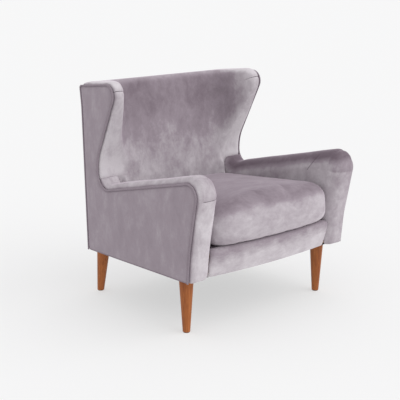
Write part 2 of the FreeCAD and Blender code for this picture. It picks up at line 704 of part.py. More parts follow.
bolts = []
inserts = []
glides = []
for name, leg in LEGS.items():
    side, pair, rake = leg
    top = leg_top(leg)
    cone = on_leg("Cone", "leg_%s_blank" % name, leg, "0", {
        "Radius1": "Sizes.leg_foot_radius", "Radius2": "Sizes.leg_top_radius", "Height": "Sizes.leg_length"})
    corner_x = "%d * Sizes.%s_leg_x - 2 * Sizes.leg_top_radius" % (side, pair)
    corner_y = "Sizes.%s_leg_y - 4 * Sizes.leg_top_radius" % pair
    wide = "4 * Sizes.leg_top_radius"
    long = "8 * Sizes.leg_top_radius"
    floor = box_at("floor_" + name, (corner_x, corner_y, "Sizes.glide_thickness - (%s)" % wide),
                   (wide, long, wide))
    above = box_at("above_" + name, (corner_x, corner_y, base_line(corner_y) + " - Sizes.fit_gap"),
                   (wide, long, wide), "atan(%s)" % base_slope)
    hole = on_leg("Cylinder", "bolt_hole_" + name, leg, "(%s) - Sizes.bolt_in_leg - Sizes.bolt_gap" % top, {
        "Radius": "Sizes.bolt_radius + Sizes.bolt_gap", "Height": "2 * Sizes.bolt_in_leg"})
    add_node("leg_" + name, cut("leg_" + name, cone, [floor, above, hole]))

    bolts.append(on_leg("Cylinder", "hanger_bolt_" + name, leg, "(%s) - Sizes.bolt_in_leg" % top, {
        "Radius": "Sizes.bolt_radius", "Height": "Sizes.bolt_in_leg + Sizes.bolt_in_frame"}))
    insert_start = "(%s) + Sizes.insert_setback" % top
    sleeve = on_leg("Cylinder", "insert_sleeve_" + name, leg, insert_start, {
        "Radius": "Sizes.insert_radius", "Height": "Sizes.insert_length"})
    thread = on_leg("Cylinder", "insert_thread_" + name, leg, insert_start, {
        "Radius": "Sizes.bolt_radius + Sizes.bolt_gap", "Height": "Sizes.insert_length"})
    inserts.append(cut("threaded_insert_" + name, sleeve, [thread]))
    glide = doc.addObject("Part::Cylinder", "felt_glide_" + name)
    glide.setExpression("Radius", "Sizes.glide_radius")
    glide.setExpression("Height", "Sizes.glide_thickness")
    glide.setExpression("Placement.Base.x", "%d * Sizes.%s_leg_x" % (side, pair))
    glide.setExpression("Placement.Base.y", "Sizes.%s_leg_y" % pair)
    glides.append(glide)

    block_front = arm_post_rear_low if pair == "front" else rear_face_low + " - Sizes.corner_block_length"
    block_rear = block_front + " + Sizes.corner_block_length"
    label = "corner_block_" + name
    blank = side_board(label + "_blank", [
        (block_front, base_line(block_front)),
        (block_rear, base_line(block_rear)),
        (block_rear, base_line(back_post_front_low if pair == "rear" else block_rear)
         + " + Sizes.corner_block_height"),
        (block_front, base_line(back_post_front_low if pair == "rear" else block_front)
         + " + Sizes.corner_block_height"),
    ], "Sizes.board_outer_depth + Sizes.side_rail_thickness", "Sizes.board_inner_depth", side)
    block_hole = on_leg("Cylinder", "insert_hole_" + name, leg, "(%s) - Sizes.bolt_in_frame" % top, {
        "Radius": "Sizes.insert_radius + Sizes.bolt_gap", "Height": "2 * Sizes.bolt_in_frame + Sizes.bolt_gap"})
    add_node(label, cut(label, blank, [block_hole]))

add_group("hanger_bolts", bolts)
add_group("threaded_inserts", inserts)
add_group("felt_glides", glides)
doc.recompute()

# Seat suspension: sinuous springs between the front and the rear rail, hessian over them, a felt pad on top

deck_slope = math.atan2(size.deck_front_z - size.deck_rear_z, size.deck_rear_y - size.deck_front_y)
DECK_PLACEMENT = FreeCAD.Placement(
    vector(0, size.deck_front_y, size.deck_front_z),
    FreeCAD.Rotation(vector(1, 0, 0), -math.degrees(deck_slope)))


def ribbon_face(points, width):
    """A flat strip of constant width along a line of (x, y) points, mitred where the line turns."""
    sides = {1: [], -1: []}
    for index, (x, y) in enumerate(points):
        here = vector(x, y, 0)
        before = vector(*points[max(index - 1, 0)], 0)
        after = vector(*points[min(index + 1, len(points) - 1)], 0)
        coming = here - before if index > 0 else after - here
        going = after - here if index < len(points) - 1 else coming
        coming.normalize()
        going.normalize()
        normal = vector(-coming.y - going.y, coming.x + going.x, 0).normalize()
        reach = width / 2 / math.cos(coming.getAngle(going) / 2)
        for way, line in sides.items():
            line.append(here + normal * (way * reach))
    outline = sides[1] + sides[-1][::-1]
    return Part.Face(Part.makePolygon(outline + outline[:1]))


runs = int(size.spring_runs)
turn = size.spring_pitch / 3
centre_line = []
for run in range(runs + 1):
    y = size.spring_inset + run * size.spring_pitch
    way = 1 if run % 2 == 0 else -1
    start_x = 0 if run == 0 else -way * (size.spring_half_width - turn)
    end_x = 0 if run == runs else way * (size.spring_half_width - turn)
    centre_line += [(start_x, y), (end_x, y)]
    if run < runs:
        side_x = way * size.spring_half_width
        centre_line += [(side_x, y + turn), (side_x, y + 2 * turn)]

strip = ribbon_face(centre_line, size.spring_wire).extrude(vector(0, 0, size.spring_wire))
strips = []
clips = []
clip_wall_at = size.spring_wire / 2 + size.fit_gap
clip_top = size.spring_wire + size.fit_gap * 1.5
for index in range(int(size.spring_count)):
    x = (index - (size.spring_count - 1) / 2) * size.spring_spacing
    strips.append(strip.translated(vector(x, 0, size.fit_gap / 2)))
    for end in (0, runs):
        y = size.spring_inset + end * size.spring_pitch
        outer = Part.makeBox(size.clip_length, 2 * (clip_wall_at + size.clip_wall), clip_top + size.clip_wall,
                             vector(x - size.clip_length / 2, y - clip_wall_at - size.clip_wall, 0))
        inner = Part.makeBox(size.clip_length, 2 * clip_wall_at, clip_top,
                             vector(x - size.clip_length / 2, y - clip_wall_at, 0))
        clips.append(outer.cut(inner))
add_shape("sinuous_springs", Part.makeCompound(strips), DECK_PLACEMENT)
add_shape("spring_clips", Part.makeCompound(clips), DECK_PLACEMENT)

spring_stack = size.spring_wire + size.clip_wall + 2 * size.fit_gap


def deck_sheet(depth, front, rear, low, high):
    """A sheet between two heights above the deck's slope, reaching to a depth on both sides."""
    profile = polygon_face([(front, deck_z(front) + low), (rear, deck_z(rear) + low),
                            (rear, deck_z(rear) + high), (front, deck_z(front) + high)])
    return across(profile, size.half_width).common(sides_wedge(depth))


insulator_depth = (size.board_inner_depth + size.rail_inner_depth) / 2
sheet_front = size.rail_padding_rear_y + size.fit_gap
sheet_rear = size.base_rear_y - size.frame_inset
pad_low = spring_stack + size.insulator_thickness
pad_high = pad_low + size.deck_pad_thickness
add_shape("deck_insulator", deck_sheet(insulator_depth, sheet_front, sheet_rear, spring_stack, pad_low))
deck_pad_depth = size.arm_thickness + size.fit_gap
add_shape("deck_pad", deck_sheet(deck_pad_depth, sheet_front, sheet_rear, pad_low, pad_high))


def on_all_legs(radius):
    """Four cylinders on the legs' axes, longer than the legs."""
    cylinders = []
    for side, pair, rake in LEGS.values():
        lean = math.radians(evaluate(rake))
        foot = vector(side * evaluate("Sizes.%s_leg_x" % pair), evaluate("Sizes.%s_leg_y" % pair), 0)
        axis = vector(0, -math.sin(lean), math.cos(lean))
        start = foot - axis * size.leg_length / 2
        cylinders.append(Part.makeCylinder(radius, 2 * size.leg_length, start, axis))
    return cylinders


cloth_front = size.base_front_y + size.frame_inset
cloth_rear = size.base_rear_y - size.dust_cover_inset
cloth_profile = polygon_face([
    (cloth_front, base_z(cloth_front) - size.fit_gap),
    (cloth_rear, base_z(cloth_rear) - size.fit_gap),
    (cloth_rear, base_z(cloth_rear) - size.fit_gap - size.dust_cover_thickness),
    (cloth_front, base_z(cloth_front) - size.fit_gap - size.dust_cover_thickness)])
cloth = across(cloth_profile, size.half_width + size.crown).common(sides_wedge(size.dust_cover_inset))
add_shape("dust_cover", cloth.cut(on_all_legs(size.leg_top_radius + size.fit_gap)))

# Arm padding: the side's outline grown by the crown, rolled over at the outer and the inside edge

outer_pad_depth = size.panel_thickness + size.fit_gap


def depth_of(point, side):
    return -side * point.x


def arm_form(side, grow=0.0):
    """The padded arm without its frame's hollow, in its side's frame; grow makes it larger all round."""
    reach_rear = size.seam_y + size.arm_inner_radius + size.crown
    start_z = size.base_rear_z
    region = polygon_face([(-FAR, start_z), (reach_rear, start_z), (reach_rear, size.seam_z + size.crown),
                           (size.waist_y - size.waist_low_radius, size.seam_z + size.crown),
                           (size.wing_tip_y, size.arm_nose_z + 2 * size.crown),
                           (-FAR, size.arm_nose_z + 2 * size.crown)])
    outline = side_face(size.crown + grow)
    near = outer_pad_depth - grow
    far = size.arm_thickness + grow
    solid = slab(outline, side, near, far)
    outer = edges_where(solid, lambda point: abs(depth_of(point, side) - near) < NEAR)
    solid = solid.makeFillet(size.crown, outer)
    solid = solid.common(slab(region, side, near - 1, far + 1))
    scoop_y = size.waist_y - size.waist_low_radius
    scoop_z = size.seam_z + size.crown

    def on_inner_edge(point):
        below_scoop = point.y < scoop_y or point.z < scoop_z + NEAR
        clear_of_cuts = point.y < reach_rear - NEAR and point.z > start_z + NEAR
        return clear_of_cuts and below_scoop and abs(depth_of(point, side) - far) < NEAR

    rolled = solid.makeFillet(size.arm_inner_radius, edges_where(solid, on_inner_edge))
    final = polygon_face([
        (-FAR, base_z(-FAR)), (size.seam_y + grow, base_z(size.seam_y + grow)),
        (size.seam_y + grow, size.seam_z + grow), (size.waist_y - size.waist_low_radius, size.seam_z + grow),
        (size.wing_tip_y, size.arm_nose_z + 2 * size.crown), (-FAR, size.arm_nose_z + 2 * size.crown)])
    return rolled.common(slab(final, side, near - 1, far + 1))


board_face = size.board_inner_depth + size.arm_board_thickness
rail_cutter = front_rail_form(size.rail_padding - size.fit_gap, size.half_width, 0, size.fit_gap)
rail_cutter = rail_cutter.common(sides_wedge(size.board_inner_depth))
under_arm = pad_low + size.frame_gap
frame_edge = size.frame_inset - size.frame_gap
inner_face = side_face(-frame_edge)
open_bottom = polygon_face([
    (size.base_front_y + frame_edge, 0), (size.rear_top_y, 0),
    (size.rear_top_y, size.front_knee_z), (size.front_knee_y + frame_edge, size.front_knee_z),
    (size.base_front_y + frame_edge, size.base_front_z)])
deck_space = polygon_face([
    (size.rail_padding_rear_y, 0), (size.rear_top_y, 0),
    (size.rear_top_y, deck_z(size.rear_top_y) + under_arm),
    (size.rail_padding_rear_y, deck_z(size.rail_padding_rear_y) + under_arm)])
for word, side in SIDES.items():
    hollow = slab(inner_face.fuse(open_bottom), side, -1, board_face)
    under = slab(deck_space, side, size.board_inner_depth - 1, size.arm_thickness + 1)
    pad = arm_form(side).cut([hollow, under])
    timber = [NODES[name + word].Shape for name in ("arm_post_", "arm_rail_", "inside_arm_board_")]
    pad = placed(pad, side_placement(side)).cut([rail_cutter] + timber)
    add_shape("arm_pad_" + word, pad)

# Front rail padding: bowed, with rounded ends, between and slightly ahead of the arms

rail_form = front_rail_form(0, size.rail_half_width, size.rail_corner_radius, size.rail_cover)
top_edges = edges_where(rail_form, lambda point: abs(point.z - deck_z(point.y) - size.rail_cover) < 5 * NEAR
                        and point.y < evaluate(front_rail_rear))
rail_form = rail_form.makeFillet(size.rail_roll_radius, top_edges)
behind = Part.makeBox(2 * FAR, FAR, FAR, vector(-FAR, size.rail_padding_rear_y, 0))
arms = [placed(arm_form(side, size.fit_gap), side_placement(side)) for side in (LEFT, RIGHT)]
add_shape("front_rail_pad", rail_form.cut([rail_cutter, behind] + arms))

# Inside back and wings: padding hollowed in front and fitted over the posts, the rails and the plywood. It is
# drawn whole, then parted into the inside back and the two wings.


def hollow_section(z):
    """The sitting space behind the arms at one height: the inside back, two bends and the wings' insides."""
    back = back_face_at(z)
    splay = tangent(size.wing_splay)
    wall = size.wing_half_opening + tangent(size.wing_flare) * (z - size.wing_opening_z)
    corner_x = wall - splay * (back - size.wing_opening_y)
    half_turn = math.radians(90 - size.wing_splay) / 2
    reach = size.back_corner_radius * math.tan(half_turn)
    bulge = size.back_corner_radius * (1 / math.cos(half_turn) - 1)
    along = vector(math.sin(math.radians(size.wing_splay)), -math.cos(math.radians(size.wing_splay)), 0)
    inward = vector(-math.cos(half_turn), -math.sin(half_turn), 0)
    start = vector(corner_x - reach, back, z)
    corner = vector(corner_x, back, z)
    end = corner + along * reach
    middle = corner + inward * bulge
    front_y = -FAR
    front = vector(wall - splay * (front_y - size.wing_opening_y), front_y, z)

    def mirrored(point):
        return vector(-point.x, point.y, point.z)

    return Part.Wire([
        Part.LineSegment(mirrored(start), start).toShape(),
        Part.Arc(start, middle, end).toShape(),
        Part.LineSegment(end, front).toShape(),
        Part.LineSegment(front, mirrored(front)).toShape(),
        Part.LineSegment(mirrored(front), mirrored(end)).toShape(),
        Part.Arc(mirrored(end), mirrored(middle), mirrored(start)).toShape(),
    ])


top_z = size.wing_tip_z + 3 * size.crown
hollow_low = hollow_section(size.back_bottom_z - size.crown)
hollow_high = hollow_section(top_z)
front_hollow = Part.makeLoft([hollow_low, hollow_high], True, True)



def kick_y(z):
    """The rear edge above its bend."""
    return between(z, size.rear_kick_z, size.rear_kick_y, size.rear_top_z, size.rear_top_y)


back_inset = size.panel_thickness + size.fit_gap
back_region = polygon_face([
    (size.wing_tip_y - 2 * size.crown, size.back_bottom_z),
    (rear_y(size.back_bottom_z) - back_inset, size.back_bottom_z),
    (size.rear_kick_y - back_inset, size.rear_kick_z),
    (kick_y(top_z) - back_inset, top_z),
    (size.wing_tip_y - 2 * size.crown, top_z)])
back_solid = across(side_face(size.crown).common(back_region), FAR).common(sides_wedge(outer_pad_depth))


def on_side_plane(point):
    return abs(abs(point.x) - outer_x(point.y, outer_pad_depth)) < NEAR


def on_back_region_edge(point):
    rear = kick_y(point.z) if point.z > size.rear_kick_z else rear_y(point.z)
    return point.z < size.back_bottom_z + 10 * NEAR or point.y > rear - back_inset - 10 * NEAR


outer_edges = edges_where(back_solid, on_side_plane)
outer_edges = [edge for edge in outer_edges
               if not all(on_back_region_edge(point) for point in edge.discretize(Number=SAMPLES))]
back_solid = back_solid.makeFillet(size.crown, outer_edges)
hollowed = back_solid.cut(front_hollow)


def on_surface(point, solid):
    return Part.Vertex(point).distToShape(solid.Shells[0])[0] < NEAR


above = Part.makeBox(2 * FAR, 2 * FAR, FAR, vector(-FAR, -FAR, size.wing_roll_z))
upper = hollowed.common(above)
wing_edges = [edge for edge in edges_where(
    upper, lambda point: on_surface(point, front_hollow) and on_surface(point, back_solid))
    if edge.BoundBox.ZMin < size.rear_kick_z + size.wing_tip_radius and edge.BoundBox.ZLength > 1]
upper = upper.makeFillet(size.wing_edge_radius, wing_edges)
lower = hollowed.cut(above)

# The pad lies on the posts' front faces; between the posts, behind the webbing, the back is empty
turned_forward = size.board_inner_depth * tangent(size.plan_taper) + size.frame_gap
post_back = size.panel_thickness + size.fit_gap + size.post_depth + turned_forward
strap_back = post_back + size.webbing_thickness + size.fit_gap
empty_back = polygon_face([
    (rear_y(size.back_bottom_z) - strap_back, size.back_bottom_z - 1),
    (rear_y(size.back_bottom_z), size.back_bottom_z - 1),
    (rear_y(size.rear_kick_z), size.rear_kick_z),
    (kick_y(size.post_top_z), size.post_top_z),
    (kick_y(size.post_top_z) - strap_back, size.post_top_z),
    (rear_y(size.rear_kick_z) - strap_back, size.rear_kick_z)])
cutters = [across(empty_back, FAR).common(sides_wedge(size.board_outer_depth + size.wing_ply_thickness))]
ahead_of_seam = polygon_face([
    (-FAR, 0), (size.seam_y + size.fit_gap, 0),
    (size.seam_y + size.fit_gap, size.seam_z + size.fit_gap), (-FAR, size.seam_z + size.fit_gap)])
behind_seam = polygon_face([
    (size.seam_y - size.crown, 0), (size.rear_top_y, 0),
    (size.rear_top_y, size.wing_roll_z), (size.seam_y - size.crown, size.wing_roll_z)])
post_space = inner_face.common(behind_seam)
for side in (LEFT, RIGHT):
    arm_space = slab(ahead_of_seam, side, -FAR, size.arm_thickness + size.arm_crease)
    inner_corner = slab(post_space, side, -1, size.board_inner_depth)
    ply = slab(wing_outline, side, 0, size.board_outer_depth + size.wing_ply_thickness)
    cutters += [placed(piece, side_placement(side)) for piece in (arm_space, inner_corner, ply)]
for label in ("back_post_left", "back_post_right", "arm_rail_left", "arm_rail_right"):
    cutters.append(NODES[label].Shape)
padding = upper.fuse(lower).cut(cutters)
middle = Part.makeBox(2 * size.back_pad_half_width, 2 * FAR, 2 * FAR,
                      vector(-size.back_pad_half_width, -FAR, 0))
add_shape("inside_back_pad", padding.common(middle))
for word, side in SIDES.items():
    beside = Part.makeBox(FAR, 2 * FAR, 2 * FAR, vector(size.back_pad_half_width, -FAR, 0))
    if side == LEFT:
        beside.translate(vector(-FAR - 2 * size.back_pad_half_width, 0, 0))
    add_shape("wing_pad_" + word, padding.common(beside))

# Webbing: level straps on the posts' front faces
straps = []
for index in range(int(size.webbing_count)):
    low = size.webbing_low_z + index * size.webbing_pitch
    high = low + size.webbing_width
    strap = polygon_face([(rear_y(low) - post_back, low), (rear_y(high) - post_back, high),
                          (rear_y(high) - post_back - size.webbing_thickness, high),
                          (rear_y(low) - post_back - size.webbing_thickness, low)])
    depth = size.board_outer_depth + size.wing_ply_thickness + size.piping_radius
    straps.append(across(strap, FAR).common(sides_wedge(depth)))
add_shape("back_webbing", Part.makeCompound(straps))

# Outer covering: flat side panels, the piping round them, and the panel behind the back


def cord_length(edge):
    """Round cord along a straight or an arc of the side's outline."""
    start = edge.valueAt(edge.FirstParameter)
    end = edge.valueAt(edge.LastParameter)
    direction = edge.tangentAt(edge.FirstParameter)
    disc = Part.Face(Part.Wire([Part.makeCircle(size.piping_radius, start, direction)]))
    if edge.Curve.TypeId != "Part::GeomCircle":
        return disc.extrude(end - start)
    centre = edge.Curve.Center
    angle = math.degrees((start - centre).getAngle(end - centre))
    axis = (start - centre).cross(end - centre).normalize()
    return disc.revolve(centre, axis, angle)


for word, side in SIDES.items():
    panel = slab(side_face(-size.piping_radius - size.fit_gap), side, 0, size.panel_thickness)
    add_shape("side_panel_" + word, panel, side_placement(side))
    cord_depth = size.panel_thickness - size.piping_radius
    lengths = [cord_length(edge) for edge in rounded_wire(side_corners()).Edges[1:-2]]
    cord = lengths[0].fuse(lengths[1:]).translated(vector(-side * cord_depth, 0, 0))
    add_shape("side_piping_" + word, cord, side_placement(side))

top_low = size.rear_top_z - size.piping_radius
rear_strip = polygon_face([
    (size.base_rear_y - size.panel_thickness, size.base_rear_z), (size.base_rear_y, size.base_rear_z),
    (size.rear_kick_y, size.rear_kick_z), (kick_y(top_low), top_low),
    (kick_y(top_low) - size.panel_thickness, top_low),
    (size.rear_kick_y - size.panel_thickness, size.rear_kick_z)])
add_shape("outside_back_panel", across(rear_strip, FAR).common(sides_wedge(outer_pad_depth)))

# Loose seat cushion: velvet cover, foam core, and a zip across its rear face

CUSHION_PLACEMENT = DECK_PLACEMENT.multiply(FreeCAD.Placement(
    vector(0, 0, pad_high + size.cushion_rest_gap), FreeCAD.Rotation()))


def cushion_half_width(along):
    """From the middle to the cushion's side, at a distance behind deck_front_y along the slope."""
    y = size.deck_front_y + along * math.cos(deck_slope)
    return outer_x(y, size.arm_thickness) - size.cushion_side_gap


def cushion_form(inset):
    """The cushion drawn in all round by an inset: a bowed plan under a crowned top, with every edge rolled."""
    nose = -size.cushion_overhang + inset
    front = nose + size.cushion_bow
    rear = -size.cushion_overhang + size.cushion_length - inset
    front_half = cushion_half_width(front) - inset
    rear_half = cushion_half_width(rear) - inset
    bow = Part.Arc(vector(-front_half, front, 0), vector(0, nose, 0), vector(front_half, front, 0)).toShape()
    plan = Part.Wire([bow] + Part.makePolygon([
        vector(front_half, front, 0), vector(rear_half, rear, 0), vector(-rear_half, rear, 0),
        vector(-front_half, front, 0)]).Edges)
    height = size.cushion_edge_height + size.cushion_crown
    block = Part.Face(plan).extrude(vector(0, 0, height))
    uprights = [edge for edge in block.Edges if edge.BoundBox.ZLength > height / 2]
    block = block.makeFillet(size.cushion_corner - inset, uprights)
    top = size.cushion_edge_height - inset
    ahead = nose - size.cushion_bow
    wide = front_half + size.cushion_bow
    crown = Part.Arc(vector(-wide, ahead, top), vector(0, ahead, top + size.cushion_crown),
                     vector(wide, ahead, top)).toShape()
    walls = Part.makePolygon([vector(wide, ahead, top), vector(wide, ahead, inset),
                              vector(-wide, ahead, inset), vector(-wide, ahead, top)])
    section = Part.Face(Part.Wire([crown] + walls.Edges))
    block = block.common(section.extrude(vector(0, 2 * size.cushion_length, 0)))
    upper_loop = edges_where(block, lambda point: point.z > top - 1)
    block = block.makeFillet(size.cushion_nose_radius - inset, upper_loop)
    lower_loop = edges_where(block, lambda point: point.z < inset + NEAR)
    return block.makeFillet(size.cushion_edge_radius - inset, lower_loop)


rear_face = size.cushion_length - size.cushion_overhang
seat_length = size.zip_length + size.fit_gap
seat_width = size.zip_width + size.fit_gap
seat_front = rear_face - size.zip_thickness - size.fit_gap / 2
zip_seat = Part.makeBox(seat_length, size.zip_thickness + size.fit_gap, seat_width,
                        vector(-seat_length / 2, seat_front, size.zip_height - seat_width / 2))
cushion_cover = cushion_form(0).cut([cushion_form(size.cover_thickness), zip_seat])
add_shape("seat_cushion_cover", cushion_cover, CUSHION_PLACEMENT)
add_shape("seat_cushion_core", cushion_form(size.cover_thickness + size.fit_gap), CUSHION_PLACEMENT)

tape = Part.makeBox(size.zip_length, size.zip_thickness, size.zip_width,
                    vector(-size.zip_length / 2, rear_face - size.zip_thickness,
                           size.zip_height - size.zip_width / 2))
add_shape("cushion_zip", tape, CUSHION_PLACEMENT)
slider_y = rear_face + size.fit_gap
slider_x = size.zip_length / 2 - size.slider_length
slider = Part.makeBox(size.slider_length, size.slider_thickness, size.slider_width,
                      vector(slider_x, slider_y, size.zip_height - size.slider_width / 2))
puller = Part.makeBox(size.puller_length, size.slider_thickness / 2, size.slider_width / 2,
                      vector(slider_x - size.puller_length, slider_y + size.slider_thickness / 2,
                             size.zip_height - size.slider_width / 4))
add_shape("zip_slider", slider.fuse(puller), CUSHION_PLACEMENT)

# Checks and export

doc.recompute()
for label, item in NODES.items():
    if "Invalid" in item.State or "Error" in item.State:
        raise RuntimeError("%s did not recompute" % label)
    if item.Shape.isNull() or not item.Shape.isValid():
        raise RuntimeError("%s has no valid shape" % label)

os.makedirs("parts", exist_ok=True)
for label, item in NODES.items():
    item.Shape.exportStep("parts/%s.step" % label)
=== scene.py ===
import bmesh
import bpy
import numpy as np
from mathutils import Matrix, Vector
from mathutils.geometry import delaunay_2d_cdt


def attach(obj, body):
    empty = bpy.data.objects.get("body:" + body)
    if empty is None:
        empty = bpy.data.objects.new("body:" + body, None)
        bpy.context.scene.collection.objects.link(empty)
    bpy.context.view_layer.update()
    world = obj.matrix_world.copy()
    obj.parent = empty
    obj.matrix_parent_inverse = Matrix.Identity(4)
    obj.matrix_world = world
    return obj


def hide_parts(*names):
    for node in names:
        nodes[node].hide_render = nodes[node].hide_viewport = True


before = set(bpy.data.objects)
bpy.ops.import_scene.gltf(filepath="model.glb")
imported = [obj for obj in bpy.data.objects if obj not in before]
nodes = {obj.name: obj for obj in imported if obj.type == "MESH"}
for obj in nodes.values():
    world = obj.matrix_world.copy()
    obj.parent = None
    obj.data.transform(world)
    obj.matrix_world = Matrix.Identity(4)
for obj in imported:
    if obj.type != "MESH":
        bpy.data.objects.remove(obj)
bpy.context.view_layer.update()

# Outside panels: velvet over a thin layer of wadding, stretched flat over each side of the frame and stapled
# behind the piping. The panel's edge dips there, and the cloth rises from it to its full thickness.
# Lengths in this script are millimetres; MM turns them to metres where a mesh or a material needs them.

MM = 0.001
LEFT, RIGHT = -1, 1
SIDES = {"left": LEFT, "right": RIGHT}
HALF_WIDTH = 385.0             # from the middle to a side's plane, at y = 0
PLAN_TAPER = np.radians(2.77)  # angle that each side draws in towards the back
SIDE_CORNERS = np.array([      # y, z and rounding of the side's corners, from the rear bottom one over the top
    (339, 183, 12), (356, 752, 250), (366, 830, 8), (110, 859, 41), (256, 561, 200), (256, 434, 60),
    (-365, 580, 45), (-316, 330, 600), (-305, 212, 10)], float)
OUTLINE_STEP = 6.0
PANEL_THICKNESS = 6.0
PANEL_EDGE_DIP = 4.2
PANEL_EDGE_WIDTH = 8.0
PANEL_RINGS = (2.5, 5.5, 10.0)  # distances of the rows of points that follow the edge
PANEL_GRID = 14.0               # spacing of the points inside them
PANEL_GRID_GAP = 13.0
PANEL_WAVE = 0.25
# The panels' tone is partly the pile's lie and partly painted shade, as the sides turn from the light. The
# edge gets painted shade where the cloth dips to the piping.
PANEL_NAP_AND_SHADE, PANEL_EDGE_SHADE = 0.45, 0.5


def unit(vectors):
    """Each vector divided by its length."""
    return vectors / np.linalg.norm(vectors, axis=-1, keepdims=True)


def even(line, step):
    """The same line with its points at equal distances: positions interpolated over the running length."""
    reach = np.concatenate([[0], np.cumsum(np.linalg.norm(np.diff(line, axis=0), axis=1))])
    at = np.linspace(0, reach[-1], int(reach[-1] / step) + 1)
    return np.stack([np.interp(at, reach, axis) for axis in line.T], -1)


def rounded(corners, step, closed=True, samples=24):
    """A line through corners, each turned into an arc of its radius that touches both straight runs.
    The arc's points come from turning one radius evenly into the other."""
    point, radius = corners[:, :2], corners[:, 2:]
    back, ahead = unit(np.roll(point, 1, 0) - point), unit(np.roll(point, -1, 0) - point)
    half = np.arccos((back * ahead).sum(-1, keepdims=True)) / 2
    centre = point + unit(back + ahead) * radius / np.sin(half)
    first, last = (unit(point + way * radius / np.tan(half) - centre) for way in (back, ahead))
    share, turn = np.linspace(0, 1, samples)[None, :, None], (np.pi - 2 * half)[:, None]
    mixed = np.sin((1 - share) * turn) * first[:, None] + np.sin(share * turn) * last[:, None]
    arcs = centre[:, None] + radius[:, None] * mixed / np.sin(turn)
    if closed:
        line = arcs.reshape(-1, 2)
        return even(np.concatenate([line, line[:1]]), step)[:-1]
    return even(np.concatenate([point[:1], arcs[1:-1].reshape(-1, 2), point[-1:]]), step)


def on_side(side, depth, y, z):
    """Points of a side, given by their depth behind its outer plane, placed in the chair: the plane turned by
    the taper about the upright at half width."""
    sin, cos = np.sin(PLAN_TAPER), np.cos(PLAN_TAPER)
    x, y, z = np.broadcast_arrays(side * (HALF_WIDTH - depth * cos - y * sin), y * cos - depth * sin, z)
    return np.stack([x, y, z], -1)


def into_side(side, points):
    """Depth behind the side's outer plane, and y along it: the inverse of on_side."""
    sin, cos = np.sin(PLAN_TAPER), np.cos(PLAN_TAPER)
    reach = HALF_WIDTH - side * points[:, 0]
    return reach * cos - points[:, 1] * sin, reach * sin + points[:, 1] * cos


def nearest(points, line):
    """Distance from each point to the closest point of a line, and which one that is."""
    square = (points ** 2).sum(-1)[:, None] + (line ** 2).sum(-1)[None] - 2 * points @ line.T
    index = square.argmin(-1)
    return np.linalg.norm(points - line[index], axis=-1), index


def new_piece(name, points, faces):
    """A smooth mesh object at the origin, from points in millimetres."""
    mesh = bpy.data.meshes.new(name)
    mesh.from_pydata(np.asarray(points, float).reshape(-1, 3) * MM, [], [tuple(face) for face in faces])
    mesh.validate()
    mesh.shade_smooth()
    piece = bpy.data.objects.new(name, mesh)
    bpy.context.scene.collection.objects.link(piece)
    return piece


def recalculated(piece):
    """Merges doubled points and turns all faces of a closed piece outwards."""
    work = bmesh.new()
    work.from_mesh(piece.data)
    bmesh.ops.remove_doubles(work, verts=work.verts, dist=0.01 * MM)
    bmesh.ops.recalc_face_normals(work, faces=work.faces)
    work.to_mesh(piece.data)
    work.free()
    return piece


def points_of(piece, key="co"):
    """The mesh's points in millimetres, or its point normals."""
    values = np.zeros(len(piece.data.vertices) * 3, np.float32)
    if key == "co":
        piece.data.vertices.foreach_get("co", values)
        return values.reshape(-1, 3).astype(float) / MM
    piece.data.vertex_normals.foreach_get("vector", values)
    return values.reshape(-1, 3).astype(float)


def ripple(a, b, height):
    """Slow waves in drawn cloth: the mean of three sines of unlike length and direction, times the height."""
    waves = np.sin(a / 61 + b / 87) + np.sin(b / 43 - a / 119 + 1) + 0.6 * np.sin(a / 29 + b / 37 + 2)
    return height * waves / 2.6


def padded_panel(name, outline, place):
    """A flat padded panel. Its outer face lies at depth dip * exp(-(d / width)^2) behind the plane, where d is
    the distance to the outline, and its back face lies one thickness deep. place(points, depth) puts both in
    the chair."""
    low, high = outline.min(0), outline.max(0)
    axes = [np.arange(low[i], high[i], PANEL_GRID) for i in (0, 1)]
    inner = np.stack(np.meshgrid(*axes), -1).reshape(-1, 2)
    tangent = unit(np.roll(outline, -1, 0) - np.roll(outline, 1, 0))
    inward = np.stack([-tangent[:, 1], tangent[:, 0]], -1)
    rings = [outline + inward * gap for gap in PANEL_RINGS]
    distance, _ = nearest(inner, outline)
    points = np.concatenate([outline, *rings, inner[distance > PANEL_GRID_GAP]])
    count = len(outline)
    border = [(i, (i + 1) % count) for i in range(count)]
    flat, _, faces, *_ = delaunay_2d_cdt([Vector(p) for p in points], border, [], 1, 1e-6)
    flat = np.array([tuple(p) for p in flat])
    distance, _ = nearest(flat, outline)
    dip = PANEL_EDGE_DIP * np.exp(-(distance / PANEL_EDGE_WIDTH) ** 2)
    depth = dip + ripple(flat[:, 0], flat[:, 1], PANEL_WAVE) + PANEL_WAVE
    size = len(flat)
    both = np.concatenate([place(flat, depth), place(flat, np.full(size, PANEL_THICKNESS))])
    front_faces = [tuple(face) for face in faces]
    back_faces = [tuple(i + size for i in face[::-1]) for face in front_faces]
    walls = [(i, j, j + size, i + size) for i, j in border]
    return recalculated(new_piece(name, both, front_faces + back_faces + walls))


def linear(colour):
    """An sRGB colour written #rrggbb as linear red, green and blue with alpha."""
    part = np.array([int(colour[i:i + 2], 16) for i in (1, 3, 5)]) / 255
    part = np.where(part <= 0.04045, part / 12.92, ((part + 0.055) / 1.055) ** 2.4)
    return (*part.tolist(), 1.0)


def add(tree, kind, inputs=None, stops=(), **settings):
    """Adds one node: its settings, then each input as a value or as a link from another node's output. The
    stops of a colour ramp are pairs of a position and an sRGB colour, in rising order."""
    node = tree.nodes.new(kind)
    for key, value in settings.items():
        setattr(node, key, value)
    for key, value in (inputs or {}).items():
        if isinstance(value, bpy.types.NodeSocket):
            tree.links.new(value, node.inputs[key])
        else:
            node.inputs[key].default_value = value
    for index, (position, colour) in enumerate(stops):
        elements = node.color_ramp.elements
        element = elements[index] if index < len(elements) else elements.new(position)
        element.position, element.color = position, linear(colour)
    return node


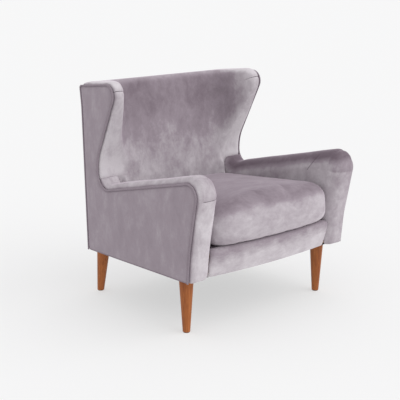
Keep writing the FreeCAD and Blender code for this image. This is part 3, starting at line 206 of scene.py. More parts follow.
def new_material(name, **values):
    """An empty material with its Principled shader joined to the output, and the shader's fixed values."""
    material = bpy.data.materials.new(name)
    material.use_nodes = True
    tree = material.node_tree
    tree.nodes.clear()
    inputs = {key.replace("_", " "): value for key, value in values.items()}
    shader = add(tree, "ShaderNodeBsdfPrincipled", inputs)
    add(tree, "ShaderNodeOutputMaterial", {"Surface": shader.outputs[0]})
    return material, tree, shader


# Short-pile polyester velvet, woven, cut and brushed. The pile lies over in patches where it was stroked, so
# the cloth is mottled in soft clouds about 60 mm wide, and it shines at a grazing angle. The single tufts of
# 0.3 mm are too fine to show, so they are drawn 1.2 mm wide.
# The tones run from the velvet's lightest to its darkest. Each piece moves along them by its own per-point
# number: partly the pile's lie, and partly painted shade and painted light, set by how its faces turn to the
# light.
VELVET_DARKEST, VELVET_MIDDLE, VELVET_LIGHTEST = "#6d6069", "#978c94", "#cac4c8"
# A thin dark line is painted along the seams: painted shade in their grooves.
SEAM_SHADE = "#4a4047"
PILE_SHEEN = "#e4d8e2"
TUFT = 1.2
CLOUD = 62.0
WISPS_IN_CLOUD = 4.2
SEAM_MARK, SEAM_LINE = 100.0, 0.8  # the attribute seam_place is 100 on a seam and changes by 1 each millimetre


def velvet(name, stroke=(1, 1, 1), contrast=1.0):
    """Velvet whose clouds are drawn out along the stroke: larger numbers make longer streaks on that axis.
    The piece's per-point attribute, from 0 to 1, sets how dark the velvet is: partly the pile's own lie and
    partly painted shade and painted light."""
    material, tree, shader = new_material(
        name, Specular_IOR_Level=0.15, Sheen_Weight=0.55, Sheen_Roughness=0.38, Sheen_Tint=linear(PILE_SHEEN))
    here = add(tree, "ShaderNodeTexCoord").outputs["Object"]
    drawn = add(tree, "ShaderNodeMapping", {"Vector": here, "Scale": [1 / s for s in stroke]}).outputs[0]
    cloud = add(tree, "ShaderNodeTexNoise", {
        "Vector": drawn, "Scale": 1 / (CLOUD * MM), "Detail": 4.0, "Roughness": 0.6,
        "Distortion": 0.35}).outputs[0]
    wisp = add(tree, "ShaderNodeTexNoise", {
        "Vector": drawn, "Scale": WISPS_IN_CLOUD / (CLOUD * MM), "Detail": 3.0, "Roughness": 0.65,
        "Distortion": 0.7}).outputs[0]
    tufts = add(tree, "ShaderNodeTexNoise", {
        "Vector": here, "Scale": 1 / (TUFT * MM), "Detail": 2.0}).outputs[0]
    # The per-point number read here is the pile's lie together with each piece's painted shade and painted
    # light.
    nap_and_shade = add(tree, "ShaderNodeAttribute", attribute_name="nap_and_shade").outputs["Fac"]
    clouds = add(tree, "ShaderNodeMath", {
        0: cloud, 1: 1.1 * contrast, 2: -0.55 * contrast}, operation="MULTIPLY_ADD").outputs[0]
    wisps = add(tree, "ShaderNodeMath", {
        0: wisp, 1: 0.45 * contrast, 2: -0.22 * contrast}, operation="MULTIPLY_ADD").outputs[0]
    both = add(tree, "ShaderNodeMath", {0: clouds, 1: wisps}, operation="ADD").outputs[0]
    darkness = add(tree, "ShaderNodeMath", {0: both, 1: nap_and_shade}, operation="ADD", use_clamp=True).outputs[0]
    tone = add(tree, "ShaderNodeValToRGB", {"Fac": darkness}, stops=[
        (0.0, VELVET_LIGHTEST), (0.45, VELVET_MIDDLE), (1.0, VELVET_DARKEST)]).outputs["Color"]
    speck = add(tree, "ShaderNodeMapRange", {"Value": tufts, 1: 0.3, 2: 0.7, 3: 0.93, 4: 1.06}).outputs[0]
    pile = add(tree, "ShaderNodeMix", {
        "Factor": 1.0, 6: tone, 7: speck}, data_type="RGBA", blend_type="MULTIPLY").outputs[2]
    # Painted shade: a thin dark line along each seam, where its groove lies in shade.
    place = add(tree, "ShaderNodeAttribute", attribute_name="seam_place").outputs["Fac"]
    on_seam = add(tree, "ShaderNodeMath", {
        0: place, 1: SEAM_MARK, 2: SEAM_LINE}, operation="COMPARE").outputs[0]
    seam_shade = add(tree, "ShaderNodeMix", {
        "Factor": on_seam, 6: pile, 7: linear(SEAM_SHADE)}, data_type="RGBA").outputs[2]
    rough = add(tree, "ShaderNodeMapRange", {"Value": cloud, 3: 0.75, 4: 0.95}).outputs[0]
    raised = add(tree, "ShaderNodeBump", {
        "Height": tufts, "Strength": 0.35, "Distance": 0.25 * MM}).outputs[0]
    leaning = add(tree, "ShaderNodeBump", {
        "Height": wisp, "Strength": 0.18, "Distance": 1.2 * MM, "Normal": raised}).outputs[0]
    tree.links.new(seam_shade, shader.inputs["Base Color"])
    tree.links.new(rough, shader.inputs["Roughness"])
    tree.links.new(leaning, shader.inputs["Normal"])
    return material


def store(piece, name, values):
    """Keeps one number for each point of the piece, as an attribute that its material reads."""
    layer = piece.data.attributes.new(name, "FLOAT", "POINT")
    count = len(piece.data.vertices)
    layer.data.foreach_set("value", np.broadcast_to(values, count).astype(np.float32))


def set_nap_and_shade(piece, value):
    """Stores how dark the velvet is at each point: the pile's lie together with painted shade and painted
    light.
    """
    store(piece, "nap_and_shade", np.clip(value, 0, 1))


def dress(piece, material, body="chair"):
    """Gives a finished piece its material and slot, and lets it ride on its body."""
    piece.data.materials.clear()
    piece.data.materials.append(material)
    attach(piece, body)
    return piece


side_line = rounded(SIDE_CORNERS, OUTLINE_STEP)
panel_velvet = velvet("velvet_on_panels", stroke=(1, 1, 1.8), contrast=0.35)
for word, side in SIDES.items():
    panel = padded_panel("side_cover_" + word, side_line,
                         lambda flat, depth, side=side: on_side(side, depth, flat[:, 0], flat[:, 1]))
    points = points_of(panel)
    _, y = into_side(side, points)
    edge, _ = nearest(np.stack([y, points[:, 2]], -1), side_line)
    # Painted shade: the panel darker in the dip along its piping.
    set_nap_and_shade(panel, PANEL_NAP_AND_SHADE + PANEL_EDGE_SHADE * np.exp(-(edge / 5) ** 2))
    dress(panel, panel_velvet)
    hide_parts("side_panel_" + word)

# Outside back: one flat piece of the same velvet over wadding, between the pipings of the two sides. It is
# closed by hand after the rest, so its edge is turned in and dips like the side panels'.

REAR_LINE = np.array([(339, 183), (356, 752), (365.6, 827)], float)  # y and z, from the base to the top
BACK_EDGE_GAP = 6.8       # from a side's plane in to the edge of this piece
BACK_NARROWING = 0.00013  # share of its width that it loses with each millimetre backwards
BACK_CORNER = 4.0
back_reach = np.concatenate([[0], np.cumsum(np.linalg.norm(np.diff(REAR_LINE, axis=0), axis=1))])


def behind_back(flat, depth):
    """Points given by x and by the length up the rear line, a depth in front of the back's outer face."""
    y, z = (np.interp(flat[:, 1], back_reach, axis) for axis in REAR_LINE.T)
    x = flat[:, 0] * (1 - (y - REAR_LINE[0, 0]) * BACK_NARROWING)
    return np.stack([x, y - depth, z], -1)


half_low = HALF_WIDTH - REAR_LINE[0, 0] * np.tan(PLAN_TAPER) - BACK_EDGE_GAP
back_corners = np.array([(-half_low, 0, BACK_CORNER), (half_low, 0, BACK_CORNER),
                         (half_low, back_reach[-1], BACK_CORNER), (-half_low, back_reach[-1], BACK_CORNER)])
outside_back = padded_panel("outside_back_cover", rounded(back_corners, OUTLINE_STEP), behind_back)
# The same tone as the side panels: partly the pile and partly painted shade.
set_nap_and_shade(outside_back, PANEL_NAP_AND_SHADE)
dress(outside_back, panel_velvet)
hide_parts("outside_back_panel")

# Piping: a cotton cord in a bias-cut strip of the velvet, sewn into the seam all round each side panel.
# Its bias wrap twists slightly round the cord. The pile is pressed down on it, so that it looks darker.

PIPING_RADIUS = 3.3
PIPING_STEP = 3.0
PIPING_SIDES = 14
PIPING_TWIST = 9.0
PIPING_WRAP = 0.22  # height of the wrap's turns
PIPING_NAP = 0.62
END_SHARE = 0.02    # radius of a tube's closed end, as a share


def tube(name, centre, across, other, radius, sides):
    """A tube with closed ends: circles of the given radius round each point of a line, in the plane of the
    two directions, drawn in to almost a point at both ends."""
    angle = np.linspace(0, 2 * np.pi, sides, endpoint=False)
    radius = np.broadcast_to(radius, (len(centre), sides)).copy()
    radius[[0, -1]] *= END_SHARE
    ring = across[:, None] * np.cos(angle)[:, None] + other[:, None] * np.sin(angle)[:, None]
    points = centre[:, None] + ring * radius[..., None]
    count = len(centre)
    i, j = np.meshgrid(np.arange(count - 1), np.arange(sides), indexing="ij")
    here, beside = i * sides + j, i * sides + (j + 1) % sides
    faces = np.stack([here, beside, beside + sides, here + sides], -1).reshape(-1, 4)
    caps = [tuple(range(sides)), tuple(range((count - 1) * sides, count * sides))]
    return recalculated(new_piece(name, points, faces.tolist() + caps))


piping_line = rounded(SIDE_CORNERS, PIPING_STEP, closed=False)
piping_line = np.concatenate([piping_line[:1], piping_line, piping_line[-1:]])
piping_reach = np.concatenate([[0], np.cumsum(np.linalg.norm(np.diff(piping_line, axis=0), axis=1))])
piping_way = unit(np.gradient(piping_line, axis=0) + 1e-9)
piping_velvet = velvet("velvet_on_piping", contrast=0.25)
for word, side in SIDES.items():
    y, z = piping_line.T
    depth = PANEL_THICKNESS - PIPING_RADIUS
    centre = on_side(side, depth, y, z)
    outward = on_side(side, depth, y + piping_way[:, 1], z - piping_way[:, 0]) - centre
    inward = on_side(side, depth + 1, y, z) - centre
    turn = np.linspace(0, 2 * np.pi, PIPING_SIDES, endpoint=False)
    wrap = PIPING_RADIUS + PIPING_WRAP * np.sin(2 * np.pi * piping_reach[:, None] / PIPING_TWIST + turn)
    piping = tube("piping_" + word, centre, outward, inward, wrap, PIPING_SIDES)
    set_nap_and_shade(piping, PIPING_NAP)
    dress(piping, piping_velvet)
    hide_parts("side_piping_" + word)

# Arms: foam and wadding over the arm frame under one boxing strip of velvet, sewn to the piping outside and
# pulled over the arm to its inside face. Two cross seams let the strip turn the nose of the arm, and a short
# dart takes in the cloth behind them.

ARM_VOXEL = 5.0
ARM_DEPTH = 106.0  # from the side's plane to the arm's inside face
ARM_TOP_RISE, ARM_FRONT_RISE = 13.0, 3.0
NOSE_SEAM_POINT, FRONT_SEAM_POINT = (-322.0, 570.0), (-356.0, 508.0)  # y and z on the outline
DART_TOP, DART_LOW = np.array([-252.0, 562.0]), np.array([-212.0, 502.0])  # y and z of the dart's ends
SEAM_DEPTH, SEAM_WIDTH = 2.4, 2.6
SHOULDER_PLACE, SHOULDER_WIDTH = 11.0, 8.0  # the soft swell on both sides of a seam
FAR_FROM_SEAM = 50.0
# Painted shade in the crease where the cloth turns in to the piping.
CREASE_WIDTH, CREASE_SHADE = 3.5, 0.5
# How dark the velvet is painted everywhere, on top, on the inside face and on the nose cap. The pile runs
# rearwards on both arms, and the tops and inside faces carry painted shade and painted light by how they turn
# to the light, so one arm's top is painted far darker than the other's.
ARM_NAP_AND_SHADE = {"left": (0.14, 0.09, 0.2, 0.12), "right": (0.3, 1.0, -0.09, 0.16)}


def move_points(piece, points):
    """Writes the points, given in millimetres, back into the mesh."""
    piece.data.vertices.foreach_set("co", (points * MM).astype(np.float32).ravel())
    piece.data.update()


def ease(value, low, high):
    """0 below low, 1 above high and a smooth S between them: t * t * (3 - 2 * t)."""
    t = np.clip((value - low) / (high - low), 0, 1)
    return t * t * (3 - 2 * t)


def settled(piece, name=None):
    """The piece with its modifiers worked into its mesh."""
    bpy.context.view_layer.update()
    mesh = bpy.data.meshes.new_from_object(piece.evaluated_get(bpy.context.evaluated_depsgraph_get()))
    name = name or piece.name
    bpy.data.objects.remove(piece)
    mesh.name = name
    mesh.shade_smooth()
    piece = bpy.data.objects.new(name, mesh)
    bpy.context.scene.collection.objects.link(piece)
    return piece


def stuffed(name, sources, voxel, relax=8):
    """A pad in the shape of its CAD solids, rebuilt in even squares with its corners relaxed like filled
    cloth: each round of relaxing moves a point half way to the mean of its neighbours."""
    work = bmesh.new()
    for node in sources:
        work.from_mesh(nodes[node].data)
    bmesh.ops.remove_doubles(work, verts=work.verts, dist=0.02 * MM)
    mesh = bpy.data.meshes.new(name + "_rough")
    work.to_mesh(mesh)
    work.free()
    rough = bpy.data.objects.new(name + "_rough", mesh)
    bpy.context.scene.collection.objects.link(rough)
    remesh = rough.modifiers.new("even", "REMESH")
    remesh.mode, remesh.voxel_size = "VOXEL", voxel * MM
    smooth = rough.modifiers.new("relax", "SMOOTH")
    smooth.factor, smooth.iterations = 0.5, relax
    return settled(rough, name)


def finer(piece):
    """Halves each square of the piece once, so that its outline is round in the picture."""
    fine = piece.modifiers.new("fine", "SUBSURF")
    fine.levels = fine.render_levels = 1
    return piece


band_way = unit(np.roll(side_line, -1, 0) - np.roll(side_line, 1, 0))
band_out = np.stack([band_way[:, 1], -band_way[:, 0]], -1)


def beside_outline(y, z):
    """Signed distance of points outside the side's outline, and their running length along it from the rear
    bottom corner, both measured at the closest point of the outline."""
    flat = np.stack([y, z], -1)
    _, index = nearest(flat, side_line)
    away = flat - side_line[index]
    return (away * band_out[index]).sum(-1), index * OUTLINE_STEP + (away * band_way[index]).sum(-1)


def seam(distance, depth=SEAM_DEPTH, width=SEAM_WIDTH, swell=1.0):
    """Height of cloth at a distance from a seam: a narrow valley between two soft shoulders, each of them a
    bell exp(-(d / width)^2)."""
    shoulder = np.exp(-((np.abs(distance) - SHOULDER_PLACE) / SHOULDER_WIDTH) ** 2)
    return -depth * np.exp(-(distance / width) ** 2) + swell * shoulder


def gathers(distance, along, pitch, height, reach):
    """Small puckers that run out from a seam and die away: two sines along it times exp(-distance / reach)."""
    wave = np.sin(2 * np.pi * along / pitch) + 0.6 * np.sin(2 * np.pi * along / (pitch * 0.63) + 1.3)
    return height * wave * np.exp(-np.abs(distance) / reach)


def piping_crease_shade(depth, out):
    """Painted shade where the cloth turns in to the piping: 1 there and 0 away from it, a bell over the depth,
    at the outline.
    """
    return np.exp(-((depth - PANEL_THICKNESS) / CREASE_WIDTH) ** 2) * ease(out, -20, -2)


def mark_seam(piece, gap):
    """Stores how far each point lies from a seam, so that the velvet paints a sharp dark line of shade along
    it.
    """
    store(piece, "seam_place", SEAM_MARK + np.clip(gap, -FAR_FROM_SEAM, FAR_FROM_SEAM))


_, (nose_seam, front_seam) = beside_outline(*np.array([NOSE_SEAM_POINT, FRONT_SEAM_POINT]).T)
dart_way = unit(DART_LOW - DART_TOP)
arm_velvet = velvet("velvet_on_arms", stroke=(1, 1.3, 1.3), contrast=0.65)
for word, side in SIDES.items():
    arm = stuffed("arm_cover_" + word, ["arm_pad_" + word], ARM_VOXEL)
    points, normal = points_of(arm), points_of(arm, "normal")
    depth, y = into_side(side, points)
    z = points[:, 2]
    out, along = beside_outline(y, z)
    outer = ease(out, -52, -10) * ease(depth, 5.5, 22)
    # The stuffing rises over the arm from edge to edge, most of it on top and less round the nose.
    rise = np.sin(np.pi * np.clip(depth / (ARM_DEPTH + PANEL_THICKNESS), 0, 1) ** 0.8)
    on_top = ease(normal[:, 2], 0.0, 0.7) * (1 - ease(y, 150, 250))
    on_nose = 0.45 * ease(-normal[:, 1], 0.2, 1) * ease(z, 430, 560)
    points[:, 2] += ARM_TOP_RISE * rise * (on_top + on_nose) * outer
    points[:, 1] -= ARM_FRONT_RISE * rise * ease(-normal[:, 1], 0.3, 0.9) * outer
    # The dart lies on the inside face only, and its valley runs out at both ends.
    down = (y - DART_TOP[0]) * dart_way[0] + (z - DART_TOP[1]) * dart_way[1]
    beside_dart = (y - DART_TOP[0]) * dart_way[1] - (z - DART_TOP[1]) * dart_way[0]
    on_dart = ease(depth, 70, 84) * ease(down, -14, 4) * (1 - ease(down, 64, 80))
    lift = seam(beside_dart, depth=2.0, width=3.0, swell=0.8) * on_dart
    for place in (nose_seam, front_seam):
        gap = along - place
        lift += (seam(gap) + gathers(gap, depth, pitch=15, height=0.45, reach=12)) * outer
    lift += ripple(along * 1.3, depth * 2, 0.8) * outer
    lift += gathers(depth - PANEL_THICKNESS, along, pitch=21, height=0.35, reach=14) * outer
    points += normal * lift[:, None]
    move_points(arm, points)
    # Painted shade and painted light by which way each face turns, and painted shade in the crease at the
    # piping, over the pile's own lie.
    base_nap_and_shade, top_shade, inner_shade, cap_nap = ARM_NAP_AND_SHADE[word]
    cap = ease(along, nose_seam - 2, nose_seam + 2) * (1 - ease(along, front_seam - 2, front_seam + 2)) * outer
    facing = top_shade * ease(normal[:, 2], 0.2, 0.95) + inner_shade * ease(-side * normal[:, 0], 0.4, 1)
    set_nap_and_shade(arm, base_nap_and_shade + facing + cap_nap * cap + CREASE_SHADE * piping_crease_shade(depth, out))
    # The painted line of seam shade shows in both darts, and in the front seam of the left arm, which is the
    # nearer one.
    seam_shade = np.where(on_dart > 0.3, beside_dart, FAR_FROM_SEAM)
    if side == LEFT:
        seam_shade = np.where(outer * ease(depth, 22, 30) > 0.02, along - front_seam, seam_shade)
    mark_seam(arm, seam_shade)
    dress(finer(arm), arm_velvet)
    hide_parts("arm_pad_" + word)

# Inside back and wings: one hollow of foam and wadding over webbing and the plywood wings, in velvet that is
# pulled smooth from wing to wing. A boxing strip runs over the wings' tops and down their front edges.

BACK_VOXEL = 6.0
BACK_NODES = ["inside_back_pad", "wing_pad_left", "wing_pad_right"]
WING_SEAM_POINT = (139.0, 829.0)  # y and z of the cross seam at the wing's tip
BACK_WAVE = 1.4
# Tone of the inside back: partly the pile and partly painted shade towards the top, painted light on the wings
# and a painted highlight on the upper edges.
BACK_NAP_AND_SHADE, BACK_NAP_AND_SHADE_HIGH, BACK_WING_LIGHT, BACK_EDGE_HIGHLIGHT = 0.25, 0.44, -0.46, -0.25
BEND_LOW, BEND_WIDENS, BEND_HIGH = 215.0, 47.0, 318.0  # x where the bend starts and where it ends

_, wing_seam = beside_outline(*np.array([WING_SEAM_POINT]).T)
back_velvet = velvet("velvet_on_inside_back", stroke=(1, 1, 1.4), contrast=0.7)
inside_back = stuffed("inside_back_cover", BACK_NODES, BACK_VOXEL, relax=24)
points, normal = points_of(inside_back), points_of(inside_back, "normal")
lift, crease_shade = np.zeros((2, len(points)))
# Distances to the wing seams, along which a thin line of painted shade is drawn.
seam_shade = np.full(len(points), FAR_FROM_SEAM)
for side in SIDES.values():
    depth, y = into_side(side, points)
    out, along = beside_outline(y, points[:, 2])
    band = ease(out, -30, -4) * ease(depth, 6, 20) * (1 - ease(depth, 62, 90))
    gap = along - wing_seam
    lift += (seam(gap) + gathers(gap, depth, pitch=13, height=0.4, reach=10)) * band
    # Painted shade in the crease at the piping.
    crease_shade += piping_crease_shade(depth, out)
    seam_shade = np.where(band > 0.02, gap, seam_shade)
    wave = ripple(along * 1.2, depth * 2, 0.8)
    lift += (wave + gathers(depth - PANEL_THICKNESS, along, pitch=23, height=0.4, reach=14)) * band
facing = ease(-normal[:, 1], 0.0, 0.7)
lift += facing * ripple(points[:, 0], points[:, 2], BACK_WAVE)
bend_from = BEND_LOW + BEND_WIDENS * ease(points[:, 2], 520, 700)
points += normal * lift[:, None]
move_points(inside_back, points)
# Darker towards the top of the back, partly the pile and partly painted shade; painted light on the wings,
# which turn towards the light, and a painted highlight on the upward-facing edges.
nap_and_shade = BACK_NAP_AND_SHADE + BACK_NAP_AND_SHADE_HIGH * ease(points[:, 2], 480, 800)
nap_and_shade += BACK_WING_LIGHT * ease(np.abs(points[:, 0]), bend_from, BEND_HIGH)
nap_and_shade += BACK_EDGE_HIGHLIGHT * ease(normal[:, 2], 0.3, 0.9)
set_nap_and_shade(inside_back, nap_and_shade + CREASE_SHADE * crease_shade)
mark_seam(inside_back, seam_shade)
dress(finer(inside_back), back_velvet)
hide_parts(*BACK_NODES)

# Front rail: a bowed rail padded with foam, its velvet rolled over the top edge under the cushion's nose. Its
# foot is painted light, and it is painted dark where it rolls over in the shade of the cushion's nose:
# partly the pile, which lies down the rail, and partly painted shade.

RAIL_VOXEL = 5.0
RAIL_FOOT, RAIL_HEIGHT = 212.0, 105.0
RAIL_CROWN = 2.2
RAIL_NAP_AND_SHADE_FOOT, RAIL_NAP_AND_SHADE_ROLL = 0.11, 0.35

rail_velvet = velvet("velvet_on_rail", stroke=(1.5, 1, 0.8), contrast=0.65)
rail = stuffed("front_rail_cover", ["front_rail_pad"], RAIL_VOXEL)
points, normal = points_of(rail), points_of(rail, "normal")
front = ease(-normal[:, 1], 0.2, 0.9)
crown = RAIL_CROWN * np.sin(np.pi * np.clip((points[:, 2] - RAIL_FOOT) / RAIL_HEIGHT, 0, 1))
points += normal * (front * (ripple(points[:, 0], points[:, 2], 0.8) + crown))[:, None]
move_points(rail, points)
# Painted shade where the rail rolls over under the cushion's nose.
roll = points[:, 2] + 4 * np.sin(points[:, 0] / 47) + 3 * np.sin(points[:, 0] / 11)
set_nap_and_shade(rail, RAIL_NAP_AND_SHADE_FOOT + RAIL_NAP_AND_SHADE_ROLL * ease(roll, 258, 312))
dress(finer(rail), rail_velvet)
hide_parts("front_rail_pad")

# Seat cushion: a loose foam block wrapped in fibre, in a velvet cover that turns from top to underside over a
# full round front without a seam there. It swells between its seams and lies flat on the deck.

CUSHION_VOXEL = 6.0
CUSHION_CAP = 9.0                     # no point of the blown cloth goes further than this
DECK_PITCH = np.radians(-5.04)
DECK_FRONT = np.array([0, -325.0, 307.0])
MID_HEIGHT, HALF_HEIGHT = 82.0, 76.0  # of the cushion, up from the deck's slope
CORNER_FROM, CORNER_WIDTH = 130.0, 160.0
NOSE_PULL, CORNER_PULL, CORNER_LIFT = 20.0, 20.0, 6.0
SIDE_PULL = 0.03
COVER_LIFT, COVER_CROWN, COVER_WAVE = 3.0, 4.0, 1.2
CROWN_HALF_WIDTH = 290.0
DECK_CLOTH = 15.4                     # height of the deck's cloth, which the cover does not go below
# The cushion's top is painted darker than its front: painted shade on the faces that turn up, with the pile's
# lie.
CUSHION_NAP_AND_SHADE, CUSHION_TOP_SHADE = 0.24, 0.48


def swollen(piece, cap, pressure=4.0, frames=20):
    """Blows the closed cloth up with the pressure, no gravity and no wind, then keeps each point's way within
    a cap: way * cap / (cap + length), so that it bends the form without losing it."""
    rest = points_of(piece)
    cloth = piece.modifiers.new("cloth", "CLOTH")
    settings = cloth.settings
    settings.quality = 5
    settings.use_pressure, settings.uniform_pressure_force = True, pressure
    settings.effector_weights.gravity = 0
    settings.tension_stiffness = settings.compression_stiffness = 15
    cloth.point_cache.frame_start, cloth.point_cache.frame_end = 1, frames
    for number in range(1, frames + 1):
        bpy.context.scene.frame_set(number)
    blown = settled(piece)
    bpy.context.scene.frame_set(1)
    way = points_of(blown) - rest
    length = np.linalg.norm(way, axis=1, keepdims=True)
    move_points(blown, rest + way * cap / (cap + length))
    return blown


def in_deck(points):
    """Points in the cushion's own slope: across, back along the deck and up from it."""
    sin, cos = np.sin(DECK_PITCH), np.cos(DECK_PITCH)
    away = points - DECK_FRONT
    return np.stack([away[:, 0], away[:, 1] * cos + away[:, 2] * sin, away[:, 2] * cos - away[:, 1] * sin], -1)


def from_deck(points):
    """The inverse of in_deck."""
    sin, cos = np.sin(DECK_PITCH), np.cos(DECK_PITCH)
    x, along, up = points.T
    return np.stack([x, along * cos - up * sin, along * sin + up * cos], -1) + DECK_FRONT


cushion = stuffed("cushion_cover", ["seat_cushion_core"], CUSHION_VOXEL, relax=30)
x, along, up = in_deck(points_of(cushion)).T
# The front corners are drawn back and up; the round front and the sides are drawn in at the top and bottom.
front = 1 - ease(along, -50, 170)
corner = np.clip((np.abs(x) - CORNER_FROM) / CORNER_WIDTH, 0, 1)
high = (up - MID_HEIGHT) / HALF_HEIGHT
along = along + front * (CORNER_PULL * corner ** 2.4 + NOSE_PULL * np.abs(high) ** 3.2)
x = x * (1 - SIDE_PULL * np.abs(high) ** 3 + SIDE_PULL * (1 - ease(along, -45, -15)) * corner)
up = up + CORNER_LIFT * front * corner ** 2 * np.clip(1 - up / 80, 0, 1)
move_points(cushion, from_deck(np.stack([x, along, up], -1)))
cushion = swollen(cushion, CUSHION_CAP)
points, normal = points_of(cushion), points_of(cushion, "normal")
x, along, up = in_deck(points).T
top = ease(normal[:, 2], 0.4, 0.95)
crown = COVER_CROWN * np.cos(x / CROWN_HALF_WIDTH * np.pi / 2)
lift = COVER_LIFT + top * (ripple(x * 1.4, along * 0.8, COVER_WAVE) + crown)
# It stays between the arms behind its nose, and above the deck.
local = in_deck(points + normal * lift[:, None])
limit = HALF_WIDTH - (local[:, 1] + DECK_FRONT[1]) * np.tan(PLAN_TAPER) - ARM_DEPTH
local[:, 0] = np.where(local[:, 1] > -20, np.clip(local[:, 0], -limit, limit), local[:, 0])
local[:, 2] = np.maximum(local[:, 2], DECK_CLOTH)
move_points(cushion, from_deck(local))
# Painted shade: the top darker than the front, in streaks across the seat.
top_shading = normal[:, 2] + 0.05 * np.sin(x / 53) + 0.04 * np.sin(x / 13)
set_nap_and_shade(cushion, CUSHION_NAP_AND_SHADE + CUSHION_TOP_SHADE * ease(top_shading, 0.2, 0.97))
cushion_velvet = velvet("velvet_on_cushion", stroke=(1.5, 1, 1), contrast=0.6)
dress(finer(cushion), cushion_velvet, "seat_cushion")
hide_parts("seat_cushion_cover", "seat_cushion_core")

# Legs: turned from beech, each screwed into the seat frame. The front pair stands upright and the rear pair
# rakes backwards, so the grain leans with each pair.

REAR_LEAN = np.radians(8.5)

# Beech, sanded on the lathe, wiped with brown stain and sprayed with a thin satin lacquer. The stain sinks in
# unevenly, which shows as two or three browns in stripes down the leg, under a dull and narrow shine. The fine
# stripes are the yearly rings, 4 mm apart, and the broad ones are 22 mm wide.
WOOD_LIGHT, WOOD_MIDDLE, WOOD_DARK = "#b66e3c", "#9b5827", "#743818"
YEAR_RING = 4.0
BROAD_STRIPE = 22.0
ALONG_GRAIN = 0.05  # the pattern's scale along the grain: it is drawn out 20 times


def turned_wood(name, lean):
    """Stained beech with its grain along the leg, which leans back by an angle as it falls."""
    material, tree, shader = new_material(name, Coat_Weight=0.05, Coat_Roughness=0.3, Specular_IOR_Level=0.3)
    here = add(tree, "ShaderNodeTexCoord").outputs["Object"]
    drawn = add(tree, "ShaderNodeMapping", {
        "Vector": here, "Rotation": (lean, 0, 0), "Scale": (1, 1, ALONG_GRAIN)}).outputs[0]
    grain = add(tree, "ShaderNodeTexNoise", {
        "Vector": drawn, "Scale": 1 / (YEAR_RING * MM), "Detail": 5.0, "Roughness": 0.6,
        "Distortion": 0.6}).outputs[0]
    stripe = add(tree, "ShaderNodeTexNoise", {
        "Vector": drawn, "Scale": 1 / (BROAD_STRIPE * MM), "Detail": 2.0}).outputs[0]
    fine = add(tree, "ShaderNodeMath", {0: grain, 1: 0.6}, operation="MULTIPLY").outputs[0]
    mixed = add(tree, "ShaderNodeMath", {0: stripe, 1: 0.4, 2: fine}, operation="MULTIPLY_ADD").outputs[0]
    tone = add(tree, "ShaderNodeValToRGB", {"Fac": mixed}, stops=[
        (0.3, WOOD_LIGHT), (0.5, WOOD_MIDDLE), (0.72, WOOD_DARK)]).outputs["Color"]
    rough = add(tree, "ShaderNodeMapRange", {"Value": grain, 3: 0.42, 4: 0.58}).outputs[0]
    raised = add(tree, "ShaderNodeBump", {
        "Height": grain, "Strength": 0.15, "Distance": 0.2 * MM}).outputs[0]
    tree.links.new(tone, shader.inputs["Base Color"])
    tree.links.new(rough, shader.inputs["Roughness"])
    tree.links.new(raised, shader.inputs["Normal"])
    return material


def finish_node(name, material):
    """A CAD part that stays as it is, in its own material."""
    nodes[name].data.materials.clear()
    nodes[name].data.materials.append(material)


leg_wood = {"front": turned_wood("stained_beech_front_legs", 0.0),
            "rear": turned_wood("stained_beech_rear_legs", REAR_LEAN)}
for end, material in leg_wood.items():
    for word in SIDES:
        finish_node("leg_%s_%s" % (end, word), material)

# Deck: hessian over the springs, and over it a thin pad in a plain dark lining cloth, which shows when the
# loose cushion is lifted. The cloth is drawn tight over the seat's rails and sinks a little between them.

DECK_VOXEL = 4.0
DECK_SAG = -1.6
DECK_HALF_WIDTH, DECK_MIDDLE, DECK_HALF_DEPTH = 265.0, 290.0, 270.0
DECK_UPPER = 11.0  # points above this height in the slope belong to the cloth on top


def woven(name, dark, light, pitch, roughness=0.9):
    """A plain weave: the waves of two crossing thread systems, multiplied. One wave spans two threads of the
    given pitch, as each goes over one and under the next."""
    material, tree, shader = new_material(name, Roughness=roughness, Specular_IOR_Level=0.2)
    here = add(tree, "ShaderNodeTexCoord").outputs["Object"]
    scale = 1000 / pitch / 2 / np.pi
    warp, weft = (add(tree, "ShaderNodeTexWave", {"Vector": here, "Scale": scale, "Distortion": 0.4},
                      bands_direction=axis).outputs["Fac"] for axis in "XY")
    cloth = add(tree, "ShaderNodeMath", {0: warp, 1: weft}, operation="MULTIPLY").outputs[0]
    uneven = add(tree, "ShaderNodeTexNoise", {
        "Vector": here, "Scale": 1 / (35 * MM), "Detail": 4.0}).outputs[0]
    mixed = add(tree, "ShaderNodeMath", {0: cloth, 1: 0.5, 2: uneven}, operation="MULTIPLY_ADD").outputs[0]
    tone = add(tree, "ShaderNodeValToRGB", {"Fac": mixed}, stops=[(0.3, dark), (1.0, light)]).outputs["Color"]
    raised = add(tree, "ShaderNodeBump", {
        "Height": cloth, "Strength": 0.4, "Distance": 0.3 * MM}).outputs[0]
    tree.links.new(tone, shader.inputs["Base Color"])
    tree.links.new(raised, shader.inputs["Normal"])
    return material


deck = stuffed("deck_cloth", ["deck_pad"], DECK_VOXEL, relax=4)
points = points_of(deck)
x, along, up = in_deck(points).T
across, back = (x / DECK_HALF_WIDTH) ** 2, ((along - DECK_MIDDLE) / DECK_HALF_DEPTH) ** 2
inside = np.clip(1 - across, 0, 1) * np.clip(1 - back, 0, 1)
points[:, 2] += np.where(up > DECK_UPPER, DECK_SAG * inside + ripple(x, along, 0.5), 0)
move_points(deck, points)
# Polyester lining, woven plain from 0.9 mm yarns and dyed in the piece: a flat dark mauve grey without shine.
deck_weave = woven("polyester_deck_cloth", "#4d444b", "#7b7079", 0.9)
dress(deck, deck_weave)
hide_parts("deck_pad")

# Dust cover: thin black bonded cloth, cut out round the legs and tacked under the seat along its turned edge.
# It hangs a few millimetres slack in the middle and puckers a little between the tacks.

